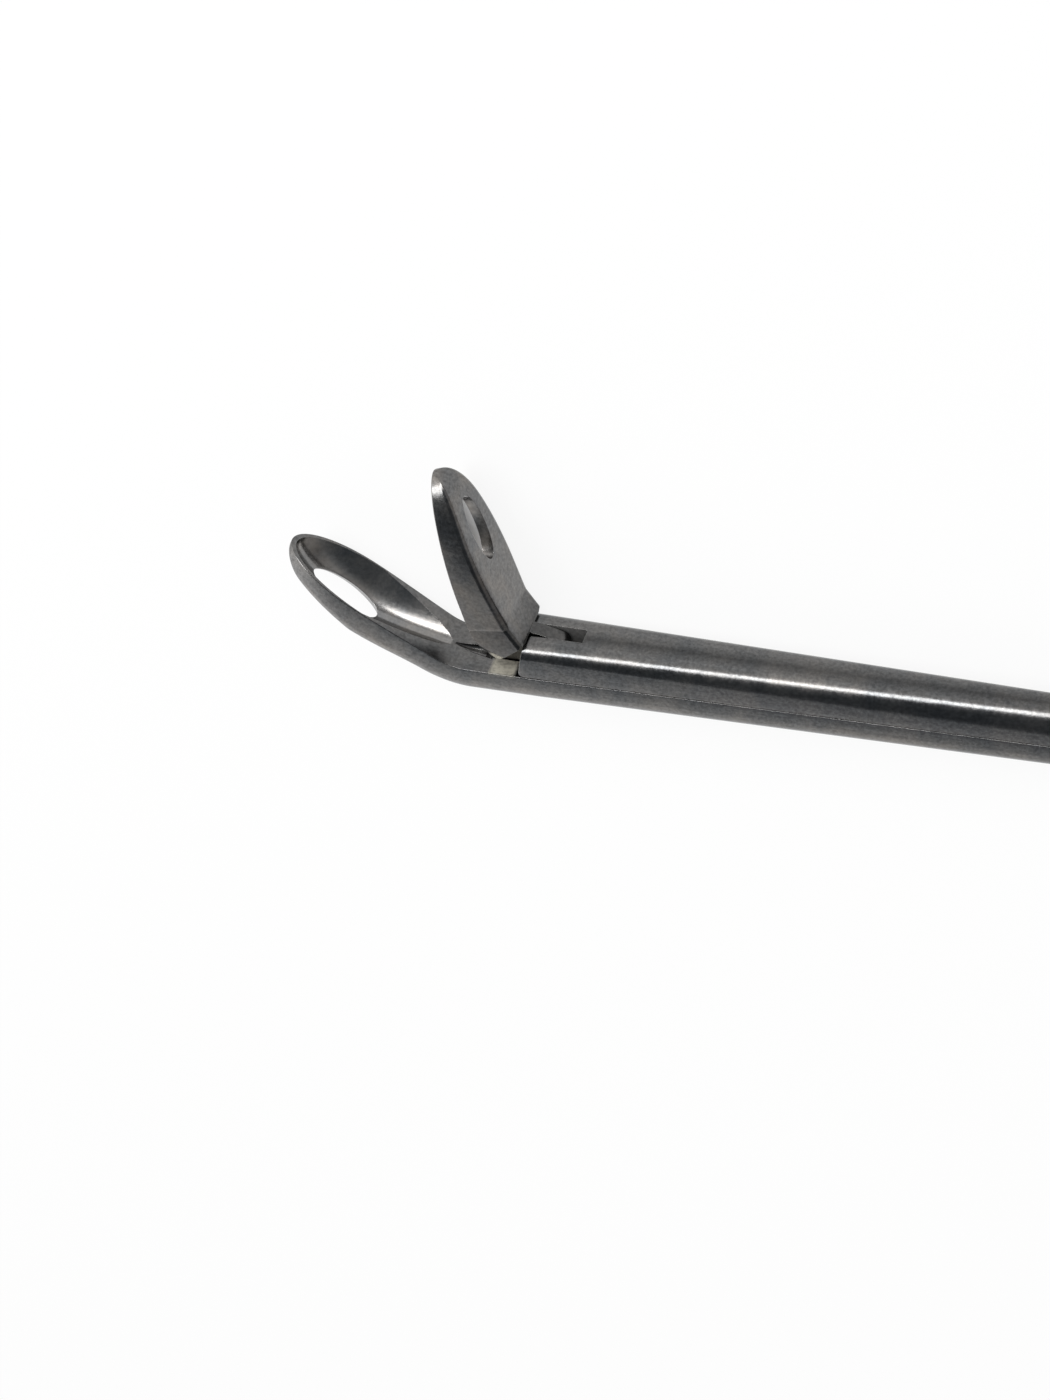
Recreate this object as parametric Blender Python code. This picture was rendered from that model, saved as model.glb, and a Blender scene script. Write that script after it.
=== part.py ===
"""Up-turned cup-jaw forceps with a slide bar and ring handles, lying on its side. Lengths are in metres."""

import math

import bmesh
import bpy
from mathutils import Matrix, Vector

MM = 0.001

# Clearances
RUNNING_GAP = 0.06 * MM
PIN_GAP = 0.05 * MM
CAM_GAP = 0.08 * MM
SEAT_GAP = 0.05 * MM
JAW_GAP = 0.12 * MM

# The two bars. The jaw pivot is at x = 0, y = 0, and the shaft runs along +X
HEAD_WIDTH = 4.04 * MM
SHAFT_WIDTH = 2.95 * MM
REAR_WIDTH = 4.6 * MM
HEAD_END = 2.0 * MM
TAPER_END = 36.0 * MM
PIVOT_DEPTH = 0.85 * MM
FIXED_BAR_HEIGHT = 2.3 * MM
SLIDE_BAR_HEIGHT = 2.4 * MM
FIXED_EDGE_ROUND = 1.4 * MM
SLIDE_FRONT_EDGE = 0.85 * MM
SLIDE_EDGE_WIDTH = 1.15 * MM
SLIDE_EDGE_HEIGHT = 1.55 * MM
EDGE_BREAK = 0.12 * MM
REAR_LEAD = 22.0 * MM
REAR_FULL_LEAD = 10.0 * MM
REAR_SHARES = (0.33, 0.67)

# Jaws, measured from the place where the rim line leaves the land
BEND_DISTANCE = 3.85 * MM
BEND_RADIUS = 4.0 * MM
BEND_ANGLE = math.radians(36.4)
LOWER_LENGTH = 12.8 * MM
UPPER_LENGTH = 12.5 * MM
LOWER_WIDTH = 4.48 * MM
LOWER_WIDEST_AT = 7.2 * MM
UPPER_WIDTH = 4.6 * MM
UPPER_WIDEST_AT = 5.2 * MM
LOWER_DEPTH = 2.5 * MM
LOWER_NOSE_DEPTH = 1.12 * MM
LOWER_NOSE_START = 11.0 * MM
LOWER_NOSE_POWER = 2.0
BELLY_ROUND = 0.42
UPPER_BASE_DEPTH = 3.06 * MM
UPPER_NOSE_DEPTH = 1.9 * MM
UPPER_NOSE_START = 8.6 * MM
UPPER_NOSE_POWER = 3.0
UPPER_BASE_FRONT = 1.5 * MM
UPPER_BASE_HEIGHT = 3.5 * MM
UPPER_BASE_LENGTH = 1.2 * MM
KNUCKLE_WIDTH = 0.35 * MM
KNUCKLE_HEIGHT = 0.9 * MM
KNUCKLE_LENGTH = 2.3 * MM
KNUCKLE_END = 0.2 * MM
NOSE_ROUND = 0.7
BACK_SPREAD = 0.1 * MM
BACK_EDGE = 0.4 * MM
RIM_EDGE = 0.05 * MM
CUP_START = 0.45 * MM
CUP_MIDDLE = 6.6 * MM
LOWER_CUP_END = 12.45 * MM
UPPER_CUP_END = 12.1 * MM
CUP_WIDTH = 4.3 * MM
LOWER_CUP_DEPTH = 1.9 * MM
UPPER_CUP_DEPTH = 1.5 * MM
CUP_LIFT = 0.3 * MM
CUP_TAPER = 0.55
CUP_RAMP = 1.5
CUP_BOWL = 1.3
WINDOW_CENTRE = 7.9 * MM
WINDOW_LENGTH = 5.2 * MM
WINDOW_WIDTH = 2.05 * MM
WINDOW_DEPTH = 1.5 * MM
LOWER_WINDOW_FLARE = 0.7
JAW_OPENING = math.radians(45.75)

# Jaw hinge and its link to the slide bar
TONGUE_SLOT_WIDTH = 1.2 * MM
TONGUE_WIDTH = 1.0 * MM
TONGUE_HEIGHT = 3.0 * MM
HUB_RADIUS = 0.85 * MM
TOE_RADIUS = 0.3 * MM
TOE_PLACE = (-1.25 * MM, -0.15 * MM)
TAIL_PLACE = (3.2 * MM, 2.5 * MM)
TAIL_ROUND = 0.6 * MM
PIN_COVER = 0.55 * MM
PIVOT_DIAMETER = 1.0 * MM
LINK_HEIGHT = 1.9 * MM
LINK_DIAMETER = 0.7 * MM
LINK_LEAN = math.radians(40.0)
LINK_WALL = 0.4 * MM
HINGE_SLOT_FRONT = 2.0 * MM
HINGE_SLOT_REAR = 2.4 * MM
GROOVE_FRONT = 4.35 * MM
GROOVE_REAR = 1.3 * MM
GROOVE_WIDTH = 1.5 * MM
GROOVE_DEPTH = 0.7 * MM
SLIDE_FRONT = 0.83 * MM
SLIDE_FRONT_LEAN = 0.2
SLIDE_FRONT_ROUND = 0.4 * MM
SLIDE_SLOT_END = 4.95 * MM

# Guide studs
GUIDE_PLACES = (46.0 * MM, 74.0 * MM)
STUD_DIAMETER = 1.2 * MM
STUD_HEAD_DIAMETER = 2.0 * MM
STUD_HEAD_HEIGHT = 0.6 * MM
STUD_LIP = 0.5 * MM

# Handles
HANDLE_X = 100.0 * MM
HANDLE_DROP = 4.4 * MM
DRIVE_HEIGHT = 1.75 * MM
DRIVE_DIAMETER = 1.4 * MM
DRIVE_WALL = 0.75 * MM
ARM_WIDTH = 2.0 * MM
ARM_SLOT_WIDTH = 2.3 * MM
ARM_HUB_RADIUS = 2.7 * MM
PIVOT_SCREW_DIAMETER = 2.4 * MM
SCREW_HEAD_DIAMETER = 4.2 * MM
SCREW_HEAD_HEIGHT = 0.6 * MM
SCREW_SLOT_WIDTH = 0.6 * MM
SCREW_SLOT_DEPTH = 0.3 * MM
HANDLE_WIDTH = 5.0 * MM
BOX_AHEAD = 11.0 * MM
BOX_BEHIND = 10.0 * MM
BOX_BOTTOM = 8.6 * MM
BOX_EDGE = 0.5 * MM
ARM_SLOT_AHEAD = 4.8 * MM
ARM_SLOT_BEHIND = 5.2 * MM
RIVET_AHEAD = 8.0 * MM
RIVET_BEHIND = 7.6 * MM
RIVET_DIAMETER = 1.6 * MM
RIVET_DEPTH = 3.2 * MM
RING_DISTANCE = 72.0 * MM
FRONT_RING_ANGLE = math.radians(-85.0)
REAR_RING_ANGLE = math.radians(-40.0)
RING_INNER_LENGTH = 25.0 * MM
RING_INNER_WIDTH = 20.0 * MM
RING_WIRE = 4.4 * MM
RING_FLAT = 1.12
SHANK_TOP_WIDTH = 6.4 * MM
SHANK_END_WIDTH = 4.6 * MM
SHANK_TOP_GAP = 6.4 * MM
SHANK_ROUND = 1.0 * MM
SHANK_ROUND_SHARE = 0.33
REST_BEHIND = 7.0 * MM
REST_DROP = 5.0 * MM

# Facets
JAW_STEPS = 20
TIP_FLAT = 0.012
BASE_STEPS = 7
BEND_STEPS = 6
FRONT_STEPS = 3
CORNER_STEPS = 4
CAM_STEPS = 8
ROUND_STEPS = 28
WINDOW_STEPS = 36
CUP_SIDES = 18
CUP_STEPS = 14
CUP_APEX = 0.1
GROOVE_STEPS = 6
RING_STEPS = 44
WIRE_STEPS = 14
SHANK_STEPS = 12
BOX_EDGE_STEPS = 2
SHARP_ANGLE = math.radians(32.0)

# Steel
SATIN = 0.34
POLISHED = 0.2
BAR_TONE = 0.52
HANDLE_TONE = 0.53
JAW_TONE = 0.54
STUD_TONE = 0.56
PIN_TONE = 0.6
BLUE_SHARE = 1.01

# Derived places
LAND = PIVOT_DEPTH
REAR_START = HANDLE_X - REAR_LEAD
REAR_FULL = HANDLE_X - REAR_FULL_LEAD
BOX_FRONT = HANDLE_X - BOX_AHEAD
BOX_REAR = HANDLE_X + BOX_BEHIND
BAR_END = BOX_REAR
ARM_SLOT_FRONT = HANDLE_X - ARM_SLOT_AHEAD
ARM_SLOT_REAR = HANDLE_X + ARM_SLOT_BEHIND
RIVET_PLACES = (HANDLE_X - RIVET_AHEAD, HANDLE_X + RIVET_BEHIND)
REST_POINT = (HANDLE_X + REST_BEHIND, -REST_DROP)
BAR_BOTTOM = LAND - FIXED_BAR_HEIGHT
SLIDE_BOTTOM = LAND + RUNNING_GAP
SLIDE_TOP = SLIDE_BOTTOM + SLIDE_BAR_HEIGHT
LINK_REST_X = LINK_HEIGHT * math.tan(LINK_LEAN)
LINK_CLOSED_X = LINK_HEIGHT * math.tan(LINK_LEAN - JAW_OPENING)
SLIDE_TRAVEL = LINK_REST_X - LINK_CLOSED_X
HANDLE_ARM = HANDLE_DROP + DRIVE_HEIGHT
HANDLE_SWING = 2 * math.atan(SLIDE_TRAVEL / 2 / HANDLE_ARM)
DRIVE_X = HANDLE_X + SLIDE_TRAVEL / 2
ARC_START = BEND_DISTANCE - BEND_RADIUS * math.tan(BEND_ANGLE / 2)
ARC_LENGTH = BEND_RADIUS * BEND_ANGLE
RIM_START = ARC_START + ARC_LENGTH - BEND_RADIUS * math.tan(BEND_ANGLE / 2)
BLIND_END = HEAD_WIDTH / 2 - PIN_COVER


def clear_scene():
    for obj in list(bpy.data.objects):
        bpy.data.objects.remove(obj, do_unlink=True)


def steel(name, tone, roughness):
    material = bpy.data.materials.new(name)
    material.use_nodes = True
    shader = material.node_tree.nodes["Principled BSDF"]
    shader.inputs["Base Color"].default_value = (tone, tone, tone * BLUE_SHARE, 1.0)
    shader.inputs["Metallic"].default_value = 1.0
    shader.inputs["Roughness"].default_value = roughness
    return material


def make_frame():
    """Empty that lays the part with its resting face on the floor and its rest point at the origin."""
    frame = bpy.data.objects.new("forceps_frame", None)
    frame.location = (-REST_POINT[0], -REST_POINT[1], HANDLE_WIDTH / 2)
    bpy.context.scene.collection.objects.link(frame)
    return frame


def to_object(name, bm, frame, at=(0.0, 0.0), turn=0.0):
    """Object of the mesh, whose origin is at a place in the jaw pivot's frame, turned about Z."""
    bmesh.ops.recalc_face_normals(bm, faces=bm.faces)
    mesh = bpy.data.meshes.new(name)
    bm.to_mesh(mesh)
    bm.free()
    mesh.shade_smooth()
    mesh.set_sharp_from_angle(angle=SHARP_ANGLE)
    obj = bpy.data.objects.new(name, mesh)
    obj.parent = frame
    obj.location = (at[0], at[1], 0.0)
    obj.rotation_euler = (0.0, 0.0, turn)
    bpy.context.scene.collection.objects.link(obj)
    return obj


def combine(obj, bm, operation, name):
    """Boolean of the object with a hidden mesh that shares its place."""
    tool = to_object(f"{obj.name}_{name}", bm, obj.parent, obj.location.xy, obj.rotation_euler.z)
    tool.hide_render = True
    tool.display_type = "WIRE"
    tool.hide_set(True)
    boolean = obj.modifiers.new(name, "BOOLEAN")
    boolean.operation = operation
    boolean.object = tool
    boolean.solver = "EXACT"


def circle(x, y, radius, steps=ROUND_STEPS):
    turns = [2 * math.pi * k / steps for k in range(steps)]
    return [(x + radius * math.cos(a), y + radius * math.sin(a)) for a in turns]


def hull(points):
    """Convex outline round the points, counter-clockwise."""
    ordered = sorted(set(points))
    outline = []
    for run in (ordered, ordered[::-1]):
        chain = []
        for p in run:
            while len(chain) > 1:
                (ax, ay), (bx, by) = chain[-2], chain[-1]
                if (bx - ax) * (p[1] - ay) - (by - ay) * (p[0] - ax) > 0:
                    break
                chain.pop()
            chain.append(p)
        outline += chain[:-1]
    return outline


def loft(loops, closed=False):
    """Skin over loops of equal count, with end caps unless the loops run round a ring."""
    bm = bmesh.new()
    rings = [[bm.verts.new(p) for p in loop] for loop in loops]
    pairs = list(zip(rings, rings[1:]))
    if closed:
        pairs.append((rings[-1], rings[0]))
    for a, b in pairs:
        for i in range(len(a)):
            j = (i + 1) % len(a)
            bm.faces.new((a[i], a[j], b[j], b[i]))
    if not closed:
        bm.faces.new(rings[0][::-1])
        bm.faces.new(rings[-1])
    return bm


def prism(outline, low, high):
    """Outline in the XY plane, extruded along Z."""
    return loft([[(x, y, z) for x, y in outline] for z in (low, high)])


def upright(outline, low, high):
    """Outline in the XZ plane, extruded along Y."""
    return loft([[(x, y, z) for x, z in outline] for y in (low, high)])


def box(x0, x1, y0, y1, z0, z1):
    return prism([(x0, y0), (x1, y0), (x1, y1), (x0, y1)], z0, z1)


def stepped_pin(levels, steps=ROUND_STEPS):
    """Turned pin along Z from (height, radius) pairs."""
    return loft([[(x, y, z) for x, y in circle(0.0, 0.0, r, steps)] for z, r in levels])


def stood_up(bm):
    """Turns a mesh made along Z so that it stands along Y."""
    bmesh.ops.rotate(bm, verts=bm.verts, cent=(0, 0, 0), matrix=Matrix.Rotation(-math.pi / 2, 3, "X"))
    return bm


def rounded_section(half_top, half_bottom, height, top_round, bottom_round, bottom_power=1):
    """Loop of (z, depth) round a bar section, with elliptic corners, or flat bottom ones at a power of 2."""
    corners = (
        (half_top, 0.0, top_round, 1, 0),
        (half_top, 0.0, top_round, 1, 1),
        (half_bottom, -height, bottom_round, bottom_power, 2),
        (half_bottom, -height, bottom_round, bottom_power, 3),
    )
    loop = []
    for half, level, (rz, ry), power, quarter in corners:
        side = 1 if quarter in (0, 3) else -1
        rise = 1 if quarter < 2 else -1
        for k in range(CORNER_STEPS + 1):
            angle = math.pi / 2 * (quarter + k / CORNER_STEPS)
            across = abs(math.cos(angle)) ** power
            along = abs(math.sin(angle)) ** power
            loop.append((side * (half - rz + rz * across), level + rise * (ry * along - ry)))
    return loop


def ease(share):
    share = min(max(share, 0.0), 1.0)
    return share * share * (3 - 2 * share)


def mix(a, b, share):
    return a + (b - a) * share


def shaft_half_width(x):
    taper = min(max((x - HEAD_END) / (TAPER_END - HEAD_END), 0.0), 1.0)
    rear = ease((x - REAR_START) / (REAR_FULL - REAR_START))
    return mix(mix(HEAD_WIDTH, SHAFT_WIDTH, taper), REAR_WIDTH, rear) / 2


def mating_line(s):
    """Point and heading at a distance s ahead of the pivot, along the land, the bend and the rim."""
    if s <= ARC_START:
        return Vector((-s, LAND)), 0.0
    turned = min((s - ARC_START) / BEND_RADIUS, BEND_ANGLE)
    x = -ARC_START - BEND_RADIUS * math.sin(turned)
    y = LAND + BEND_RADIUS * (1 - math.cos(turned))
    left = max(s - ARC_START - ARC_LENGTH, 0.0)
    return Vector((x - left * math.cos(turned), y + left * math.sin(turned))), turned


def along_rim(t):
    """Distance ahead of the pivot of a place on the rim."""
    return RIM_START + t


def nose(t, length, start, power):
    """Share of the full depth that is left at a place on the rounded nose."""
    share = min(max((t - start) / (length - start), 0.0), 1.0)
    return (1 - share**power) ** (1 / power)


def rim_half_width(t, length, width, widest_at):
    widening = mix(HEAD_WIDTH, width, ease(t / widest_at)) / 2
    share = min(max((t - widest_at) / (length - widest_at), 0.0), 1.0)
    return widening * math.sqrt(1 - share * share)


def jaw_stations(length):
    """Places along the rim, closer together toward the tip."""
    last = math.pi / 2 - TIP_FLAT
    return [length * math.sin(last * k / JAW_STEPS) for k in range(1, JAW_STEPS + 1)]


def cup_shares(t, end):
    """Shares of the cup's width and depth at a place on the rim: a ramp behind its middle, a bowl ahead."""
    if t < CUP_MIDDLE:
        share = (t - CUP_START) / (CUP_MIDDLE - CUP_START)
        return share**CUP_TAPER, 1 - (1 - share) ** CUP_RAMP
    share = (t - CUP_MIDDLE) / (end - CUP_MIDDLE)
    left = math.sqrt(1 - share * share)
    return left, left**CUP_BOWL


def hollow_section(half, depth):
    """Loop of (z, depth) of a round-bottomed hollow, with straight walls above its top line."""
    turns = [math.pi * k / CUP_SIDES for k in range(CUP_SIDES + 1)]
    section = [(half * math.cos(a), depth * math.sin(a)) for a in turns]
    return section + [(-half, -CUP_LIFT), (half, -CUP_LIFT)]


def cup_cutter(side, depth, foot, end):
    """Spoon-shaped hollow from a foot above the rim line, with straight walls on the other side of it."""
    centre, turned = mating_line(along_rim(CUP_MIDDLE))
    ahead = Vector((-math.cos(turned), math.sin(turned)))
    up = Vector((math.sin(turned), math.cos(turned)))
    last = math.pi / 2 - TIP_FLAT
    shares = [mix(CUP_APEX, 1.0, k / CUP_STEPS) ** 2 for k in range(CUP_STEPS)]
    places = [mix(CUP_START, CUP_MIDDLE, share) for share in shares]
    places += [mix(CUP_MIDDLE, end, math.sin(last * k / CUP_STEPS)) for k in range(CUP_STEPS + 1)]
    loops = []
    for t in places:
        wide, deep = cup_shares(t, end)
        loop = []
        for z, level in hollow_section(wide * CUP_WIDTH / 2, depth * deep):
            point = centre + ahead * (t - CUP_MIDDLE) + up * (side * (foot + level))
            loop.append((point.x, point.y, z))
        loops.append(loop)
    return loft(loops)


def groove_cutter():
    """Pointed groove along the land, from the front of the tongue slot toward the cup."""
    loops = []
    for k in range(GROOVE_STEPS + 1):
        share = mix(CUP_APEX, 1.0, k / GROOVE_STEPS)
        middle, turned = mating_line(mix(GROOVE_FRONT, GROOVE_REAR, share))
        up = Vector((math.sin(turned), math.cos(turned)))
        loop = []
        for z, level in hollow_section(share * GROOVE_WIDTH / 2, share * GROOVE_DEPTH):
            point = middle - up * level
            loop.append((point.x, point.y, z))
        loops.append(loop)
    return loft(loops)


def window_cutter(side, flare):
    """Oval window through the cup's floor, which may widen toward the outside."""
    centre, turned = mating_line(along_rim(WINDOW_CENTRE))
    unit = circle(0.0, 0.0, 1.0, WINDOW_STEPS)
    outside = 2 * UPPER_BASE_DEPTH
    loops = []
    for level, spread in ((0.0, 0.0), (WINDOW_DEPTH, 0.0), (outside, flare * (outside - WINDOW_DEPTH))):
        half_long = WINDOW_LENGTH / 2 + spread
        half_wide = WINDOW_WIDTH / 2 + spread
        loops.append([(x * half_long, side * level, z * half_wide) for x, z in unit])
    bm = loft(loops)
    place = Matrix.Translation((centre.x, centre.y, 0.0)) @ Matrix.Rotation(-turned, 4, "Z")
    bmesh.ops.transform(bm, matrix=place, verts=bm.verts)
    return bm


def cross_hole(diameter, x=0.0, y=0.0, end=HANDLE_WIDTH):
    """Hole across the part from its far side, right through or to a blind end."""
    return prism(circle(x, y, diameter / 2 + PIN_GAP), -HANDLE_WIDTH, end)


def upright_hole(diameter, x, low, high):
    return upright(circle(x, 0.0, diameter / 2 + PIN_GAP), low, high)


def cam_path(pin_x, pin_y, swing):
    """Places that a cross pin takes in a piece that turns by the swing while the slide bar travels."""
    places = []
    for k in range(CAM_STEPS + 1):
        pin = Vector((pin_x - SLIDE_TRAVEL * k / CAM_STEPS, pin_y))
        turned = Matrix.Rotation(-swing * k / CAM_STEPS, 2) @ pin
        places.append((turned.x, turned.y))
    return places


def round_path(path, radius):
    """Convex outline of a disc moved along a path."""
    return hull([p for x, y in path for p in circle(x, y, radius)])


def lower_section(s):
    """Loop of the fixed bar or of the lower jaw at a distance ahead of the pivot."""
    point, turned = mating_line(s)
    t = s - RIM_START
    if t <= 0.0:
        half = shaft_half_width(point.x)
        height = FIXED_BAR_HEIGHT
    else:
        half = rim_half_width(t, LOWER_LENGTH, LOWER_WIDTH, LOWER_WIDEST_AT)
        deep = mix(FIXED_BAR_HEIGHT, LOWER_DEPTH, ease(t / CUP_MIDDLE))
        deep = mix(deep, LOWER_NOSE_DEPTH, max(t - CUP_MIDDLE, 0.0) / (LOWER_LENGTH - CUP_MIDDLE))
        height = deep * nose(t, LOWER_LENGTH, LOWER_NOSE_START, LOWER_NOSE_POWER)
    belly = ease(t / CUP_MIDDLE)
    rz = mix(FIXED_EDGE_ROUND, BELLY_ROUND * half, belly)
    ry = mix(FIXED_EDGE_ROUND, BELLY_ROUND * height, belly)
    edge = min(mix(EDGE_BREAK, RIM_EDGE, belly), half / 4, height / 4)
    loop = rounded_section(half, half, height, (edge, edge), (min(rz, half), min(ry, height - edge)))
    up = Vector((math.sin(turned), math.cos(turned)))
    return [(point.x + d * up.x, point.y + d * up.y, z) for z, d in loop]


def make_fixed_bar(frame):
    """Lower bar with the lower jaw, slotted for the jaw's tongue and for the drive arm."""
    rear = [BAR_END, REAR_FULL] + [mix(REAR_FULL, REAR_START, share) for share in REAR_SHARES]
    places = [-x for x in rear + [REAR_START, TAPER_END, HEAD_END]]
    places += [ARC_START + ARC_LENGTH * k / BEND_STEPS for k in range(BEND_STEPS + 1)]
    places += [along_rim(t) for t in jaw_stations(LOWER_LENGTH) if along_rim(t) > places[-1] + EDGE_BREAK]
    bar = to_object("fixed_bar", loft([lower_section(s) for s in places]), frame)
    combine(bar, cup_cutter(-1, LOWER_CUP_DEPTH, 0.0, LOWER_CUP_END), "DIFFERENCE", "cup")
    combine(bar, window_cutter(-1, LOWER_WINDOW_FLARE), "DIFFERENCE", "window")
    half_slot = TONGUE_SLOT_WIDTH / 2
    reach = 2 * FIXED_BAR_HEIGHT
    slot = box(-HINGE_SLOT_FRONT, HINGE_SLOT_REAR, -reach, reach, -half_slot, half_slot)
    combine(bar, slot, "DIFFERENCE", "tongue_slot")
    combine(bar, groove_cutter(), "DIFFERENCE", "groove")
    combine(bar, cross_hole(PIVOT_DIAMETER, end=BLIND_END), "DIFFERENCE", "pivot_hole")
    half_arm = ARM_SLOT_WIDTH / 2
    arm_slot = box(ARM_SLOT_FRONT, ARM_SLOT_REAR, -reach, reach, -half_arm, half_arm)
    combine(bar, arm_slot, "DIFFERENCE", "arm_slot")
    for number, x in enumerate(GUIDE_PLACES):
        combine(bar, upright_hole(STUD_DIAMETER, x, -reach, reach), "DIFFERENCE", f"stud_hole_{number}")
    for number, x in enumerate(RIVET_PLACES):
        combine(bar, upright_hole(RIVET_DIAMETER, x, -reach, reach), "DIFFERENCE", f"rivet_hole_{number}")
    return bar


def slide_section(x, lean, lift):
    """Loop of the slide bar, leaning back from its foot, with its foot lifted."""
    half = shaft_half_width(x)
    share = min(max(x / TAPER_END, 0.0), 1.0)
    wide = mix(SLIDE_FRONT_EDGE, SLIDE_EDGE_WIDTH, share)
    round_off = (wide, mix(SLIDE_FRONT_EDGE, SLIDE_EDGE_HEIGHT, share))
    loop = rounded_section(half, half, SLIDE_BAR_HEIGHT - lift, round_off, (EDGE_BREAK, EDGE_BREAK))
    return [(x + lean * (SLIDE_BAR_HEIGHT + d), SLIDE_TOP + d, z) for z, d in loop]


def make_slide_bar(frame):
    """Upper bar with the open-front slot, the drive slot and the undercut guide slots."""
    stations = []
    for k in range(FRONT_STEPS + 1):
        angle = math.pi / 2 * k / FRONT_STEPS
        back = SLIDE_FRONT_ROUND * (1 - math.cos(angle))
        lift = SLIDE_FRONT_ROUND * (1 - math.sin(angle))
        stations.append(slide_section(SLIDE_FRONT + back, SLIDE_FRONT_LEAN, lift))
    flats = [SLIDE_SLOT_END, TAPER_END, REAR_START]
    flats += [mix(REAR_START, REAR_FULL, share) for share in REAR_SHARES] + [REAR_FULL, BAR_END]
    stations += [slide_section(x, 0.0, 0.0) for x in flats]
    bar = to_object("slide_bar", loft(stations), frame)
    reach = 2 * SLIDE_TOP
    half_slot = TONGUE_SLOT_WIDTH / 2
    slot = box(-reach, SLIDE_SLOT_END, -reach, reach, -half_slot, half_slot)
    combine(bar, slot, "DIFFERENCE", "tail_slot")
    combine(bar, cross_hole(LINK_DIAMETER, LINK_REST_X, LINK_HEIGHT, BLIND_END), "DIFFERENCE", "link_hole")
    half_arm = ARM_SLOT_WIDTH / 2
    arm_reach = DRIVE_DIAMETER / 2 + CAM_GAP + DRIVE_WALL + SLIDE_TRAVEL
    pocket = box(DRIVE_X - arm_reach, DRIVE_X + arm_reach, -reach, reach, -half_arm, half_arm)
    combine(bar, pocket, "DIFFERENCE", "arm_pocket")
    combine(bar, cross_hole(DRIVE_DIAMETER, DRIVE_X, DRIVE_HEIGHT), "DIFFERENCE", "drive_hole")
    for number, x in enumerate(GUIDE_PLACES):
        ends = [(x, 0.0), (x + SLIDE_TRAVEL, 0.0)]
        stem = round_path(ends, STUD_DIAMETER / 2 + CAM_GAP)
        head = round_path(ends, STUD_HEAD_DIAMETER / 2 + CAM_GAP)
        lip = SLIDE_BOTTOM + STUD_LIP
        ceiling = lip + STUD_HEAD_HEIGHT + 2 * RUNNING_GAP
        combine(bar, upright(stem, -reach, ceiling), "DIFFERENCE", f"stem_slot_{number}")
        combine(bar, upright(head, lip, ceiling), "DIFFERENCE", f"head_slot_{number}")
    return bar


def back_point(t):
    """Place on the upper jaw's back, in the closed jaw's frame."""
    point, turned = mating_line(along_rim(t))
    deep = mix(UPPER_BASE_DEPTH, UPPER_NOSE_DEPTH, t / UPPER_NOSE_START)
    deep *= nose(t, UPPER_LENGTH, UPPER_NOSE_START, UPPER_NOSE_POWER)
    up = Vector((math.sin(turned), math.cos(turned)))
    return point + up * max(deep, 2 * JAW_GAP)


def upper_section(mating, back, half, mating_corner, back_round):
    """Loop of the upper jaw between a place on its mating side and a place on its back."""
    height = (back - mating).length
    along = (back - mating) / height
    back_half = half + min(BACK_SPREAD, half / 4)
    loop = rounded_section(back_half, half, height, (back_round, back_round), mating_corner, bottom_power=2)
    return [(back.x + d * along.x, back.y + d * along.y, z) for z, d in loop]


def upper_mating(s):
    """Place on the upper jaw's mating side at a distance ahead of the pivot."""
    point, turned = mating_line(s)
    return point + Vector((math.sin(turned), math.cos(turned))) * JAW_GAP


def knuckle_loops():
    """Loops of the upper jaw's base, chamfered at its rear end and along its mating side."""
    base_end = along_rim(UPPER_BASE_LENGTH)
    shoulder = Vector((-UPPER_BASE_FRONT, UPPER_BASE_HEIGHT))
    places = [UPPER_BASE_FRONT]
    places += [mix(UPPER_BASE_FRONT + KNUCKLE_END, base_end, k / BASE_STEPS) for k in range(BASE_STEPS)]
    loops = []
    for s in places:
        share = (s - UPPER_BASE_FRONT) / (base_end - UPPER_BASE_FRONT)
        back = shoulder.lerp(back_point(UPPER_BASE_LENGTH), share)
        fade = max(1 - (s - UPPER_BASE_FRONT) / KNUCKLE_LENGTH, 0.0)
        corner = (mix(RIM_EDGE, KNUCKLE_WIDTH, fade), mix(RIM_EDGE, KNUCKLE_HEIGHT, fade))
        half = HEAD_WIDTH / 2
        if s == UPPER_BASE_FRONT:
            half -= KNUCKLE_WIDTH
        loops.append(upper_section(upper_mating(s), back, half, corner, BACK_EDGE))
    return loops


def upper_loop(t):
    """Loop of the upper jaw at a place on its rim, with a back that rounds over toward the nose."""
    mating = upper_mating(along_rim(t))
    back = back_point(t)
    half = rim_half_width(t, UPPER_LENGTH, UPPER_WIDTH, UPPER_WIDEST_AT)
    height = (back - mating).length
    soft = ease((t - CUP_MIDDLE) / (UPPER_LENGTH - CUP_MIDDLE))
    back_round = mix(BACK_EDGE, NOSE_ROUND * min(half, height), soft)
    rim_edge = min(RIM_EDGE, half / 4, height / 8)
    return upper_section(mating, back, half, (rim_edge, rim_edge), back_round)


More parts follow.
